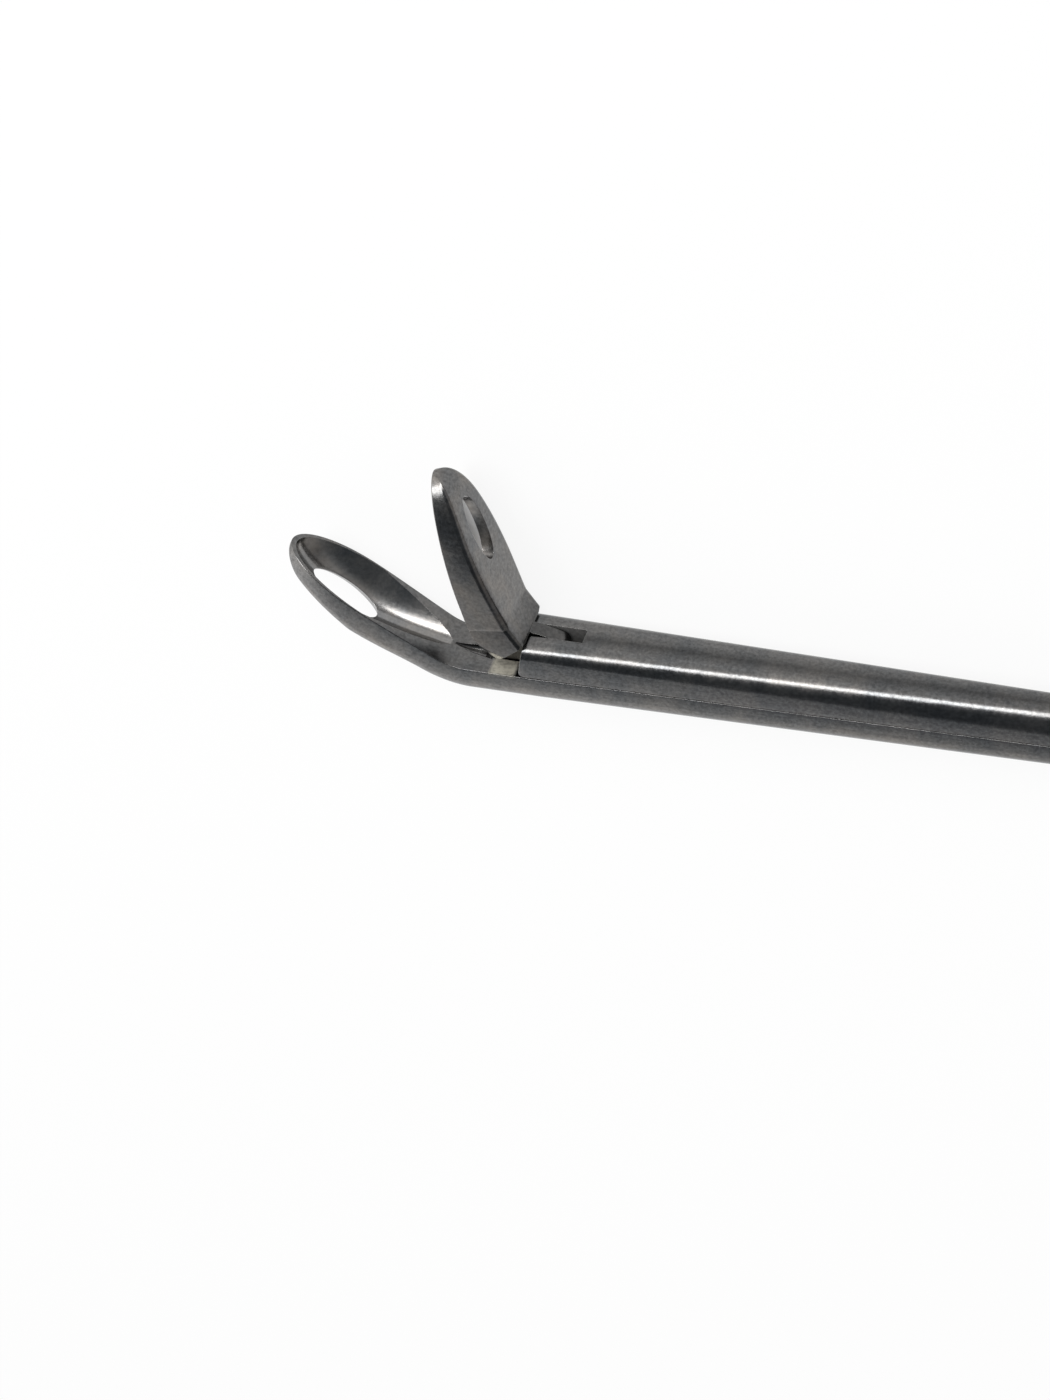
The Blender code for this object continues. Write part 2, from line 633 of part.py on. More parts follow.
def make_upper_jaw(frame):
    """Cup jaw with its tongue, made in the closed pose and turned open about the pivot."""
    places = [UPPER_BASE_LENGTH]
    places += [t for t in jaw_stations(UPPER_LENGTH) if t > UPPER_BASE_LENGTH + EDGE_BREAK]
    loops = knuckle_loops() + [upper_loop(t) for t in places]
    jaw = to_object("upper_jaw", loft(loops), frame, turn=-JAW_OPENING)
    closed = Matrix.Rotation(JAW_OPENING, 2)
    path = [tuple(closed @ Vector(p)) for p in cam_path(LINK_REST_X, LINK_HEIGHT, JAW_OPENING)]
    lobe = LINK_DIAMETER / 2 + CAM_GAP + LINK_WALL
    root_x = UPPER_BASE_FRONT + HUB_RADIUS
    root = [(-root_x, LAND + 3 * JAW_GAP), (-root_x, TONGUE_HEIGHT)]
    root.append((-UPPER_BASE_FRONT - JAW_GAP, LAND + 2 * JAW_GAP))
    hub = circle(0.0, 0.0, HUB_RADIUS) + circle(*TOE_PLACE, TOE_RADIUS)
    tail = closed @ Vector(TAIL_PLACE)
    outline = hull(hub + round_path(path, lobe) + circle(tail.x, tail.y, TAIL_ROUND) + root)
    combine(jaw, cup_cutter(1, UPPER_CUP_DEPTH, JAW_GAP, UPPER_CUP_END), "DIFFERENCE", "cup")
    combine(jaw, window_cutter(1, 0.0), "DIFFERENCE", "window")
    combine(jaw, prism(outline, -TONGUE_WIDTH / 2, TONGUE_WIDTH / 2), "UNION", "tongue")
    combine(jaw, cross_hole(PIVOT_DIAMETER), "DIFFERENCE", "pivot_hole")
    cam = prism(round_path(path, LINK_DIAMETER / 2 + CAM_GAP), -TONGUE_WIDTH, TONGUE_WIDTH)
    combine(jaw, cam, "DIFFERENCE", "cam_slot")
    return jaw


def ring_loops(centre, heading):
    """Loops of an oval finger ring whose long side lies along the heading."""
    half_long = (RING_INNER_LENGTH + RING_WIRE) / 2
    half_short = (RING_INNER_WIDTH + RING_WIRE) / 2
    turn = Matrix.Rotation(heading, 2)
    loops = []
    for k in range(RING_STEPS):
        a = 2 * math.pi * k / RING_STEPS
        middle = Vector((half_long * math.cos(a), half_short * math.sin(a)))
        outward = Vector((half_short * math.cos(a), half_long * math.sin(a))).normalized()
        loop = []
        for j in range(WIRE_STEPS):
            b = 2 * math.pi * j / WIRE_STEPS
            place = centre + turn @ (middle + outward * (RING_WIRE / 2 * math.cos(b)))
            loop.append((place.x, place.y, ring_height(b)))
        loops.append(loop)
    return loops


def ring_height(b):
    """Height on the ring's wire, whose two faces are ground flat to the handles' width."""
    return max(-1.0, min(1.0, RING_FLAT * math.sin(b))) * HANDLE_WIDTH / 2


def shank_loops(start, start_pull, end, end_pull):
    """Loops along a curved shank that tapers toward its ring."""
    first = start + start_pull
    last = end - end_pull
    loops = []
    for k in range(SHANK_STEPS + 1):
        u = k / SHANK_STEPS
        v = 1 - u
        place = start * v**3 + first * (3 * v * v * u) + last * (3 * v * u * u) + end * u**3
        way = (first - start) * v * v + (last - first) * 2 * v * u + (end - last) * u * u
        across = Vector((-way.y, way.x)).normalized()
        width = mix(SHANK_TOP_WIDTH, SHANK_END_WIDTH, u)
        corner = (SHANK_ROUND, SHANK_ROUND_SHARE * width)
        section = rounded_section(HANDLE_WIDTH / 2, HANDLE_WIDTH / 2, width, corner, corner)
        loop = []
        for z, d in section:
            point = place + across * (d + width / 2)
            loop.append((point.x, point.y, z))
        loops.append(loop)
    return loops


def on_ray(angle, distance):
    return Vector((math.cos(angle), math.sin(angle))) * distance


def make_rear_handle(frame):
    """Fixed handle: a slotted box under the bars, a shank and the thumb ring."""
    top = BAR_BOTTOM - SEAT_GAP
    half = HANDLE_WIDTH / 2
    pivot = Vector((HANDLE_X, -HANDLE_DROP))
    body = box(BOX_FRONT, BOX_REAR, -BOX_BOTTOM, top, -half, half)
    bmesh.ops.bevel(
        body, geom=body.edges[:], offset=BOX_EDGE, segments=BOX_EDGE_STEPS, profile=0.5, affect="EDGES"
    )
    handle = to_object("rear_handle", body, frame)
    centre = pivot + on_ray(REAR_RING_ANGLE, RING_DISTANCE)
    reach = (RING_INNER_LENGTH + RING_WIRE) / 2
    start = Vector((BOX_REAR - SHANK_TOP_WIDTH, (top - BOX_BOTTOM) / 2))
    end = centre - on_ray(REAR_RING_ANGLE, reach)
    pull = (end - start).length / 3
    shank = shank_loops(start, Vector((pull, -pull / 4)), end, on_ray(REAR_RING_ANGLE, pull))
    combine(handle, loft(shank), "UNION", "shank")
    combine(handle, loft(ring_loops(centre, REAR_RING_ANGLE), closed=True), "UNION", "ring")
    half_arm = ARM_SLOT_WIDTH / 2
    slot = box(ARM_SLOT_FRONT, ARM_SLOT_REAR, -2 * BOX_BOTTOM, -2 * BAR_BOTTOM, -half_arm, half_arm)
    combine(handle, slot, "DIFFERENCE", "arm_slot")
    combine(handle, cross_hole(PIVOT_SCREW_DIAMETER, *pivot), "DIFFERENCE", "screw_hole")
    sink = circle(pivot.x, pivot.y, SCREW_HEAD_DIAMETER / 2 + PIN_GAP)
    floor = half - SCREW_HEAD_HEIGHT - SEAT_GAP
    combine(handle, prism(sink, floor, HANDLE_WIDTH), "DIFFERENCE", "screw_seat")
    for number, x in enumerate(RIVET_PLACES):
        hole = upright_hole(RIVET_DIAMETER, x, BAR_BOTTOM - RIVET_DEPTH - SEAT_GAP, LAND)
        combine(handle, hole, "DIFFERENCE", f"rivet_hole_{number}")
    return handle


def make_front_handle(frame):
    """Moving handle, made about its own pivot: drive arm, shank and finger ring."""
    path = cam_path(DRIVE_X - HANDLE_X, HANDLE_ARM, HANDLE_SWING)
    lobe = DRIVE_DIAMETER / 2 + CAM_GAP + DRIVE_WALL
    waist = on_ray(FRONT_RING_ANGLE, SHANK_TOP_GAP + BOX_EDGE)
    outline = hull(
        circle(0.0, 0.0, ARM_HUB_RADIUS)
        + round_path(path, lobe)
        + circle(waist.x, waist.y, SHANK_TOP_WIDTH / 3)
    )
    arm = prism(outline, -ARM_WIDTH / 2, ARM_WIDTH / 2)
    handle = to_object("front_handle", arm, frame, (HANDLE_X, -HANDLE_DROP))
    centre = on_ray(FRONT_RING_ANGLE, RING_DISTANCE)
    reach = (RING_INNER_LENGTH + RING_WIRE) / 2
    start = on_ray(FRONT_RING_ANGLE, SHANK_TOP_GAP)
    end = centre - on_ray(FRONT_RING_ANGLE, reach)
    pull = on_ray(FRONT_RING_ANGLE, (end - start).length / 3)
    shank = shank_loops(start, pull, end, pull)
    combine(handle, loft(shank), "UNION", "shank")
    combine(handle, loft(ring_loops(centre, FRONT_RING_ANGLE), closed=True), "UNION", "ring")
    combine(handle, cross_hole(PIVOT_SCREW_DIAMETER), "DIFFERENCE", "screw_hole")
    cam = prism(round_path(path, DRIVE_DIAMETER / 2 + CAM_GAP), -ARM_WIDTH, ARM_WIDTH)
    combine(handle, cam, "DIFFERENCE", "cam_slot")
    return handle


def make_cross_pin(name, frame, diameter, low, high, x, y):
    """Straight pin across the part between two heights, with its two ends broken."""
    radius = diameter / 2
    levels = [(low, radius - EDGE_BREAK), (low + EDGE_BREAK, radius)]
    levels += [(high - EDGE_BREAK, radius), (high, radius - EDGE_BREAK)]
    return to_object(name, stepped_pin(levels), frame, (x, y))


def make_pivot_screw(frame):
    """Slotted screw whose head is sunk in the near cheek of the rear handle."""
    half = HANDLE_WIDTH / 2
    neck = half - SCREW_HEAD_HEIGHT
    radius = PIVOT_SCREW_DIAMETER / 2
    head = SCREW_HEAD_DIAMETER / 2
    levels = [(-half + EDGE_BREAK, radius - EDGE_BREAK), (-half + 2 * EDGE_BREAK, radius), (neck, radius)]
    levels += [(neck, head), (half - EDGE_BREAK, head), (half, head - EDGE_BREAK)]
    screw = to_object("handle_pivot_screw", stepped_pin(levels), frame, (HANDLE_X, -HANDLE_DROP))
    half_cut = SCREW_SLOT_WIDTH / 2
    cut = box(-2 * head, 2 * head, -half_cut, half_cut, half - SCREW_SLOT_DEPTH, HANDLE_WIDTH)
    combine(screw, cut, "DIFFERENCE", "driver_slot")
    return screw


def make_guide_stud(name, frame, x):
    """Stud riveted in the fixed bar, whose head runs in the slide bar's undercut slot."""
    under = SLIDE_BOTTOM + STUD_LIP + RUNNING_GAP
    radius = STUD_DIAMETER / 2
    head = STUD_HEAD_DIAMETER / 2
    levels = [(BAR_BOTTOM, radius - EDGE_BREAK), (BAR_BOTTOM + EDGE_BREAK, radius), (under, radius)]
    levels += [(under, head), (under + STUD_HEAD_HEIGHT, head)]
    return to_object(name, stood_up(stepped_pin(levels)), frame, (x, 0.0))


def make_rivet(name, frame, x):
    """Rivet that holds the fixed bar on the rear handle's box, flush under the slide bar."""
    radius = RIVET_DIAMETER / 2
    low = BAR_BOTTOM - RIVET_DEPTH
    high = LAND - EDGE_BREAK
    levels = [(low, radius - EDGE_BREAK), (low + EDGE_BREAK, radius), (high, radius)]
    return to_object(name, stood_up(stepped_pin(levels)), frame, (x, 0.0))


def make_pins(frame):
    """The jaw's pivot and link pin, blind in the near side, and the drive pin right across the slide bar."""
    far = EDGE_BREAK - HEAD_WIDTH / 2
    near = BLIND_END - SEAT_GAP
    drive = REAR_WIDTH / 2 - EDGE_BREAK
    return [
        make_cross_pin("jaw_pivot_rivet", frame, PIVOT_DIAMETER, far, near, 0.0, 0.0),
        make_cross_pin("jaw_link_pin", frame, LINK_DIAMETER, far, near, LINK_REST_X, LINK_HEIGHT),
        make_cross_pin("drive_pin", frame, DRIVE_DIAMETER, -drive, drive, DRIVE_X, DRIVE_HEIGHT),
    ]


def main():
    clear_scene()
    frame = make_frame()
    studs = [
        make_guide_stud("front_guide_stud", frame, GUIDE_PLACES[0]),
        make_guide_stud("rear_guide_stud", frame, GUIDE_PLACES[1]),
        make_rivet("front_rivet", frame, RIVET_PLACES[0]),
        make_rivet("rear_rivet", frame, RIVET_PLACES[1]),
    ]
    finishes = [
        ([make_fixed_bar(frame), make_slide_bar(frame)], BAR_TONE, SATIN),
        ([make_upper_jaw(frame)], JAW_TONE, SATIN),
        ([make_rear_handle(frame), make_front_handle(frame)], HANDLE_TONE, SATIN),
        (studs, STUD_TONE, SATIN),
        (make_pins(frame) + [make_pivot_screw(frame)], PIN_TONE, POLISHED),
    ]
    for pieces, tone, roughness in finishes:
        for obj in pieces:
            obj.data.materials.append(steel(f"{obj.name}_steel", tone, roughness))


main()
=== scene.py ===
"""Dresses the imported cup-jaw forceps: finer meshes, used steel, floor, light and camera."""

import math

import bmesh
import bpy
from mathutils import Matrix, Vector


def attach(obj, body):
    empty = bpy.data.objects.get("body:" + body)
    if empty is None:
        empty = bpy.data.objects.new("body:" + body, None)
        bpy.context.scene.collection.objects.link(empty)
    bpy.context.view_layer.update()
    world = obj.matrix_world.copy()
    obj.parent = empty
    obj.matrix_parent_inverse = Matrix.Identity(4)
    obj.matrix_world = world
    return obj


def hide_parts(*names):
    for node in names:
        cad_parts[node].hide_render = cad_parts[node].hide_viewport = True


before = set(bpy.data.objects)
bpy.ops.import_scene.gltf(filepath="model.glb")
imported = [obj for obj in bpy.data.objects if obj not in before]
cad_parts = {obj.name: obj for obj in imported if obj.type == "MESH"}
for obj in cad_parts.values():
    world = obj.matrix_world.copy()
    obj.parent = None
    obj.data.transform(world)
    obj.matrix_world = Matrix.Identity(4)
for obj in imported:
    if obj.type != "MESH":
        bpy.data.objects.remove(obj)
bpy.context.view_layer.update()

MM = 0.001

# Clearances
RUNNING_GAP = 0.06 * MM
PIN_GAP = 0.05 * MM
CAM_GAP = 0.08 * MM
SEAT_GAP = 0.05 * MM
JAW_GAP = 0.12 * MM

# The two bars. The jaw pivot is at x = 0, y = 0, and the shaft runs along +X
HEAD_WIDTH = 4.04 * MM
SHAFT_WIDTH = 2.95 * MM
REAR_WIDTH = 4.6 * MM
HEAD_END = 2.0 * MM
TAPER_END = 36.0 * MM
PIVOT_DEPTH = 0.85 * MM
FIXED_BAR_HEIGHT = 2.3 * MM
SLIDE_BAR_HEIGHT = 2.4 * MM
FIXED_EDGE_ROUND = 1.4 * MM
SLIDE_FRONT_EDGE = 0.85 * MM
SLIDE_EDGE_WIDTH = 1.15 * MM
SLIDE_EDGE_HEIGHT = 1.55 * MM
EDGE_BREAK = 0.04 * MM
REAR_LEAD = 22.0 * MM
REAR_FULL_LEAD = 10.0 * MM
REAR_SHARES = (0.33, 0.67)

# Jaws, measured from the place where the rim line leaves the land
BEND_DISTANCE = 3.85 * MM
BEND_RADIUS = 4.0 * MM
BEND_ANGLE = math.radians(36.4)
LOWER_LENGTH = 12.8 * MM
UPPER_LENGTH = 12.5 * MM
LOWER_WIDTH = 4.48 * MM
LOWER_WIDEST_AT = 7.2 * MM
UPPER_WIDTH = 4.6 * MM
UPPER_WIDEST_AT = 5.2 * MM
LOWER_DEPTH = 2.5 * MM
LOWER_NOSE_DEPTH = 1.12 * MM
LOWER_NOSE_START = 11.0 * MM
LOWER_NOSE_POWER = 2.0
BELLY_ROUND = 0.42
UPPER_BASE_DEPTH = 3.06 * MM
UPPER_NOSE_DEPTH = 1.9 * MM
UPPER_NOSE_START = 8.6 * MM
UPPER_NOSE_POWER = 3.0
UPPER_BASE_FRONT = 1.5 * MM
UPPER_BASE_HEIGHT = 3.5 * MM
UPPER_BASE_LENGTH = 1.2 * MM
KNUCKLE_WIDTH = 0.35 * MM
KNUCKLE_HEIGHT = 0.9 * MM
KNUCKLE_LENGTH = 2.3 * MM
KNUCKLE_END = 0.2 * MM
NOSE_ROUND = 0.25
BACK_SPREAD = 0.1 * MM
BACK_EDGE = 0.4 * MM
RIM_EDGE = 0.05 * MM
EDGE_PARTS = 4
RIM_PARTS = 8
CUP_START = 0.45 * MM
CUP_MIDDLE = 6.6 * MM
LOWER_CUP_END = 12.45 * MM
UPPER_CUP_END = 12.1 * MM
CUP_WIDTH = 4.3 * MM
LOWER_CUP_DEPTH = 1.9 * MM
UPPER_CUP_DEPTH = 1.5 * MM
CUP_LIFT = 0.3 * MM
CUP_TAPER = 0.55
CUP_RAMP = 1.5
CUP_CURVE = 2.0
CUP_BOWL = 1.3
WINDOW_CENTRE = 8.0 * MM
WINDOW_LENGTH = 4.9 * MM
WINDOW_WIDTH = 1.9 * MM
WINDOW_DEPTH = 1.5 * MM
LOWER_WINDOW_FLARE = 0.7
JAW_OPENING = math.radians(45.75)

# Jaw hinge and its link to the slide bar
TONGUE_SLOT_WIDTH = 1.2 * MM
TONGUE_WIDTH = 1.0 * MM
TONGUE_HEIGHT = 3.0 * MM
HUB_RADIUS = 0.85 * MM
TOE_RADIUS = 0.3 * MM
TOE_PLACE = (-1.25 * MM, -0.15 * MM)
TAIL_PLACE = (3.2 * MM, 2.5 * MM)
TAIL_ROUND = 0.6 * MM
PIN_COVER = 0.55 * MM
PIVOT_DIAMETER = 1.0 * MM
LINK_HEIGHT = 1.9 * MM
LINK_DIAMETER = 0.7 * MM
LINK_LEAN = math.radians(40.0)
LINK_WALL = 0.4 * MM
HINGE_SLOT_FRONT = 2.0 * MM
HINGE_SLOT_REAR = 2.4 * MM
GROOVE_FRONT = 4.35 * MM
GROOVE_REAR = 1.3 * MM
GROOVE_WIDTH = 1.5 * MM
GROOVE_DEPTH = 0.7 * MM
SLIDE_FRONT = 0.83 * MM
SLIDE_FRONT_LEAN = 0.2
SLIDE_FRONT_ROUND = 0.4 * MM
SLIDE_SLOT_END = 4.95 * MM

# Guide studs
GUIDE_PLACES = (46.0 * MM, 74.0 * MM)
STUD_DIAMETER = 1.2 * MM
STUD_HEAD_DIAMETER = 2.0 * MM
STUD_HEAD_HEIGHT = 0.6 * MM
STUD_LIP = 0.5 * MM

# Handles
HANDLE_X = 100.0 * MM
HANDLE_DROP = 4.4 * MM
DRIVE_HEIGHT = 1.75 * MM
DRIVE_DIAMETER = 1.4 * MM
DRIVE_WALL = 0.75 * MM
ARM_WIDTH = 2.0 * MM
ARM_SLOT_WIDTH = 2.3 * MM
ARM_HUB_RADIUS = 2.7 * MM
PIVOT_SCREW_DIAMETER = 2.4 * MM
SCREW_HEAD_DIAMETER = 4.2 * MM
SCREW_HEAD_HEIGHT = 0.6 * MM
HANDLE_WIDTH = 5.0 * MM
BOX_AHEAD = 11.0 * MM
BOX_BEHIND = 10.0 * MM
BOX_BOTTOM = 8.6 * MM
BOX_EDGE = 0.5 * MM
BOX_EDGE_PROFILE = 0.5
ARM_SLOT_AHEAD = 4.8 * MM
ARM_SLOT_BEHIND = 5.2 * MM
RIVET_AHEAD = 8.0 * MM
RIVET_BEHIND = 7.6 * MM
RIVET_DIAMETER = 1.6 * MM
RIVET_DEPTH = 3.2 * MM
RING_DISTANCE = 72.0 * MM
FRONT_RING_ANGLE = math.radians(-85.0)
REAR_RING_ANGLE = math.radians(-40.0)
RING_INNER_LENGTH = 25.0 * MM
RING_INNER_WIDTH = 20.0 * MM
RING_WIRE = 4.4 * MM
RING_FLAT = 1.12
SHANK_TOP_WIDTH = 6.4 * MM
SHANK_END_WIDTH = 4.6 * MM
SHANK_TOP_GAP = 6.4 * MM
SHANK_ROUND = 1.0 * MM
SHANK_ROUND_SHARE = 0.33
SHANK_PULL_PARTS = 3
SHANK_DROP_PARTS = 4
WAIST_PARTS = 3
REST_BEHIND = 7.0 * MM
REST_DROP = 5.0 * MM

# Facets
JAW_STEPS = 96
TIP_FLAT = 0.012
BASE_STEPS = 24
BEND_STEPS = 24
FRONT_STEPS = 10
CORNER_STEPS = 12
CAM_STEPS = 16
ROUND_STEPS = 72
WINDOW_STEPS = 144
CUP_SIDES = 72
CUP_STEPS = 64
CUP_APEX = 0.1
GROOVE_STEPS = 24
RING_STEPS = 144
WIRE_STEPS = 40
SHANK_STEPS = 48
BOX_EDGE_STEPS = 5
SHARP_ANGLE = math.radians(18.0)

# Derived places
LAND = PIVOT_DEPTH
REAR_START = HANDLE_X - REAR_LEAD
REAR_FULL = HANDLE_X - REAR_FULL_LEAD
BOX_FRONT = HANDLE_X - BOX_AHEAD
BOX_REAR = HANDLE_X + BOX_BEHIND
BAR_END = BOX_REAR
ARM_SLOT_FRONT = HANDLE_X - ARM_SLOT_AHEAD
ARM_SLOT_REAR = HANDLE_X + ARM_SLOT_BEHIND
RIVET_PLACES = (HANDLE_X - RIVET_AHEAD, HANDLE_X + RIVET_BEHIND)
REST_POINT = (HANDLE_X + REST_BEHIND, -REST_DROP)
BAR_BOTTOM = LAND - FIXED_BAR_HEIGHT
SLIDE_BOTTOM = LAND + RUNNING_GAP
SLIDE_TOP = SLIDE_BOTTOM + SLIDE_BAR_HEIGHT
LINK_REST_X = LINK_HEIGHT * math.tan(LINK_LEAN)
LINK_CLOSED_X = LINK_HEIGHT * math.tan(LINK_LEAN - JAW_OPENING)
SLIDE_TRAVEL = LINK_REST_X - LINK_CLOSED_X
HANDLE_ARM = HANDLE_DROP + DRIVE_HEIGHT
HANDLE_SWING = 2 * math.atan(SLIDE_TRAVEL / 2 / HANDLE_ARM)
DRIVE_X = HANDLE_X + SLIDE_TRAVEL / 2
ARC_START = BEND_DISTANCE - BEND_RADIUS * math.tan(BEND_ANGLE / 2)
ARC_LENGTH = BEND_RADIUS * BEND_ANGLE
RIM_START = ARC_START + ARC_LENGTH - BEND_RADIUS * math.tan(BEND_ANGLE / 2)
BLIND_END = HEAD_WIDTH / 2 - PIN_COVER
BACK_LEAST = 2 * JAW_GAP
ROOT_REAR_LIFT = 2 * JAW_GAP
ROOT_FRONT_LIFT = 3 * JAW_GAP

# Picture
PHOTO_WIDTH = 1050
PHOTO_HEIGHT = 1400
FOCAL_PIXELS = 3255.0
PIVOT_PIXEL = (516.2, 663.65)
VIEW_FROM = Vector((0.283, 0.687, 0.669))
VIEW_ROLL = 0.141
VIEW_DISTANCE = 210.0 * MM
SENSOR = 36.0
CAMERA_NEAR = 10.0 * MM

# Light and floor
LAMP_FROM = Vector((-0.268, 0.689, 0.673))
LAMP_ALONG = Vector((0.735, 0.598, -0.319))
LAMP_DISTANCE = 0.5
LAMP_HALF_WIDE = math.radians(38.0)
LAMP_HALF_HIGH = math.radians(8.0)
LAMP_RADIANCE = 7.5
ROOM_DIM = 0.12
ROOM_RISE = (0.6, 0.78)
ROOM_ASIDE = (0.2, -0.7)
ROOM_SIDES = (0.4, 1.7)
ROOM_TINTS = (-0.1, 0.02)
FLOOR_HALF = 3.0
FLOOR_WHITE = 0.9
FLOOR_GLOW = 0.88

# Places of the colour sockets on Blender's Mix node
MIX_INPUTS = slice(6, 8)
MIX_OUTPUT = 2

# Steel. A noise is its scale, detail, roughness and distortion
STREAK_LAY = (110.0, 4200.0, 4200.0)
STREAK_NOISE = (1.0, 5.0, 0.62)
STREAK_RANGE = (0.3, 0.7)
STREAK_SWING = 0.08
STREAK_RELIEF = 0.6
STAIN_NOISE = (330.0, 5.0, 0.6, 0.5)
STAIN_RANGE = (0.34, 0.66)
STAIN_SWING = 0.15
STAIN_MATT = (0.85, 1.15)
GRAIN_NOISE = (4200.0, 3.0, 0.7)
GRAIN_RANGE = (0.34, 0.66)
GRAIN_SWING = 0.25
GRAIN_MATT = 0.03
GRAIN_RELIEF = 0.4
RELIEF_STRENGTH = 0.15
RELIEF_HEIGHT = 0.01 * MM
CLEAN_WARMTH = -0.02
EDGE_SOFT = 0.05 * MM
EDGE_SAMPLES = 6
# Edges painted brighter and warmer: partly wear, partly painted glints
EDGE_RANGE = (0.99, 0.86)
EDGE_SHINE = 1.5
EDGE_WARMTH = 0.02
# Tan places: a painted pale sheen on the jaw's knuckle, and on the land a worn spot that is partly
# painted sheen
TAN_WEAR_AND_SHEEN = (0.38, 0.36, 0.3, 1.0)
TAN_GRAIN = (0.0, 0.6, 0.6, 1.0)
TAN_METAL = 0.25
TAN_MATT = 0.35

# Places on the steel, in millimetres from the jaw pivot: centre, half size and soft edge,
# and for a darker place the share of the grey that is left. The darker places are painted
# shade on the land and at the jaw's root, and painted dark reflections on the slide bar's
# top, the jaw's flank and the cup's tip. The tan places are a painted pale sheen, the one
# on the land partly a worn spot
LAND_SHADE = ((-3.4, 1.2, 0.0), (2.3, 0.7, 1.97), (0.3, 0.2, 0.04), 0.88)
LAND_WEAR_AND_SHEEN = ((-0.3, 0.9, 1.15), (0.84, 0.2, 0.82), (0.12, 0.1, 0.1))
SLIDE_TOP_SHADE = ((60.0, SLIDE_TOP / MM, 0.15), (80.0, 0.4, 0.45), (1.0, 0.2, 0.4), 0.5)
JAW_ROOT_SHADE = ((1.0, 1.8, -0.6), (6.0, 2.6, 2.4), (0.5, 0.8, 0.2), 0.6)
JAW_FLANK_SHADE = ((-2.0, 4.0, 2.7), (7.0, 6.5, 0.85), (0.5, 1.5, 0.2), 0.62)
JAW_TAN_SHEEN = ((-0.1, 2.1, 1.73), (0.8, 0.6, 0.24), (0.15, 0.15, 0.05))
CUP_TIP_SHADE = ((-13.0, 6.8, -0.9), (0.6, 0.7, 0.6), (0.6, 0.7, 0.6), 0.45)

# CAD nodes that stay and get the pins' steel
PIN_NODES = (
    "jaw_pivot_rivet", "jaw_link_pin", "front_guide_stud", "rear_guide_stud",
    "front_rivet", "rear_rivet", "handle_pivot_screw", "drive_pin",
)


def to_world(point):
    """Place in the row frame of a place given from the jaw pivot."""
    return Vector((point[0] - REST_POINT[0], point[1] - REST_POINT[1], point[2] + HANDLE_WIDTH / 2))


def to_object(name, bm, material, at=(0.0, 0.0), turn=0.0):
    """Working object of the mesh, placed from the jaw pivot and turned about Z."""
    bmesh.ops.recalc_face_normals(bm, faces=bm.faces)
    mesh = bpy.data.meshes.new(name)
    bm.to_mesh(mesh)
    bm.free()
    mesh.materials.append(material)
    obj = bpy.data.objects.new(name, mesh)
    obj.location = (at[0], at[1], 0.0)
    obj.rotation_euler = (0.0, 0.0, turn)
    bpy.context.scene.collection.objects.link(obj)
    return obj


def combine(obj, bm, operation, name, material=None):
    """Boolean of the object with a mesh that shares its place, whose faces keep their own steel."""
    material = material or obj.data.materials[0]
    tool = to_object(f"{obj.name}_{name}", bm, material, obj.location.xy, obj.rotation_euler.z)
    boolean = obj.modifiers.new(name, "BOOLEAN")
    boolean.operation = operation
    boolean.object = tool
    boolean.solver = "EXACT"
    boolean.material_mode = "TRANSFER"


def finish_piece(obj, node, body):
    """Applies the cuts, moves the mesh to the row frame, and lets the piece stand for its node."""
    bpy.context.view_layer.update()
    graph = bpy.context.evaluated_depsgraph_get()
    mesh = bpy.data.meshes.new_from_object(obj.evaluated_get(graph), depsgraph=graph)
    shift = to_world((0.0, 0.0, 0.0))
    mesh.transform(Matrix.Translation(shift) @ obj.matrix_world)
    for modifier in list(obj.modifiers):
        bpy.data.objects.remove(modifier.object, do_unlink=True)
    bpy.data.objects.remove(obj, do_unlink=True)
    mesh.shade_smooth()
    mesh.set_sharp_from_angle(angle=SHARP_ANGLE)
    piece = bpy.data.objects.new(f"{node}_fine", mesh)
    bpy.context.scene.collection.objects.link(piece)
    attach(piece, body)
    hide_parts(node)
    return piece


def circle(x, y, radius, steps=ROUND_STEPS):
    turns = [2 * math.pi * k / steps for k in range(steps)]
    return [(x + radius * math.cos(a), y + radius * math.sin(a)) for a in turns]


def hull(points):
    """Convex outline round the points, counter-clockwise."""
    ordered = sorted(set(points))
    outline = []
    for run in (ordered, ordered[::-1]):
        chain = []
        for p in run:
            while len(chain) > 1:
                (ax, ay), (bx, by) = chain[-2], chain[-1]
                if (bx - ax) * (p[1] - ay) - (by - ay) * (p[0] - ax) > 0:
                    break
                chain.pop()
            chain.append(p)
        outline += chain[:-1]
    return outline


def loft(loops, closed=False):
    """Skin over loops of equal count, with end caps unless the loops run round a ring."""
    bm = bmesh.new()
    rings = [[bm.verts.new(p) for p in loop] for loop in loops]
    pairs = list(zip(rings, rings[1:]))
    if closed:
        pairs.append((rings[-1], rings[0]))
    for a, b in pairs:
        for i in range(len(a)):
            j = (i + 1) % len(a)
            bm.faces.new((a[i], a[j], b[j], b[i]))
    if not closed:
        bm.faces.new(rings[0][::-1])
        bm.faces.new(rings[-1])
    return bm


def prism(outline, low, high):
    """Outline in the XY plane, extruded along Z."""
    return loft([[(x, y, z) for x, y in outline] for z in (low, high)])


def upright(outline, low, high):
    """Outline in the XZ plane, extruded along Y."""
    return loft([[(x, y, z) for x, z in outline] for y in (low, high)])


def box(x0, x1, y0, y1, z0, z1):
    return prism([(x0, y0), (x1, y0), (x1, y1), (x0, y1)], z0, z1)


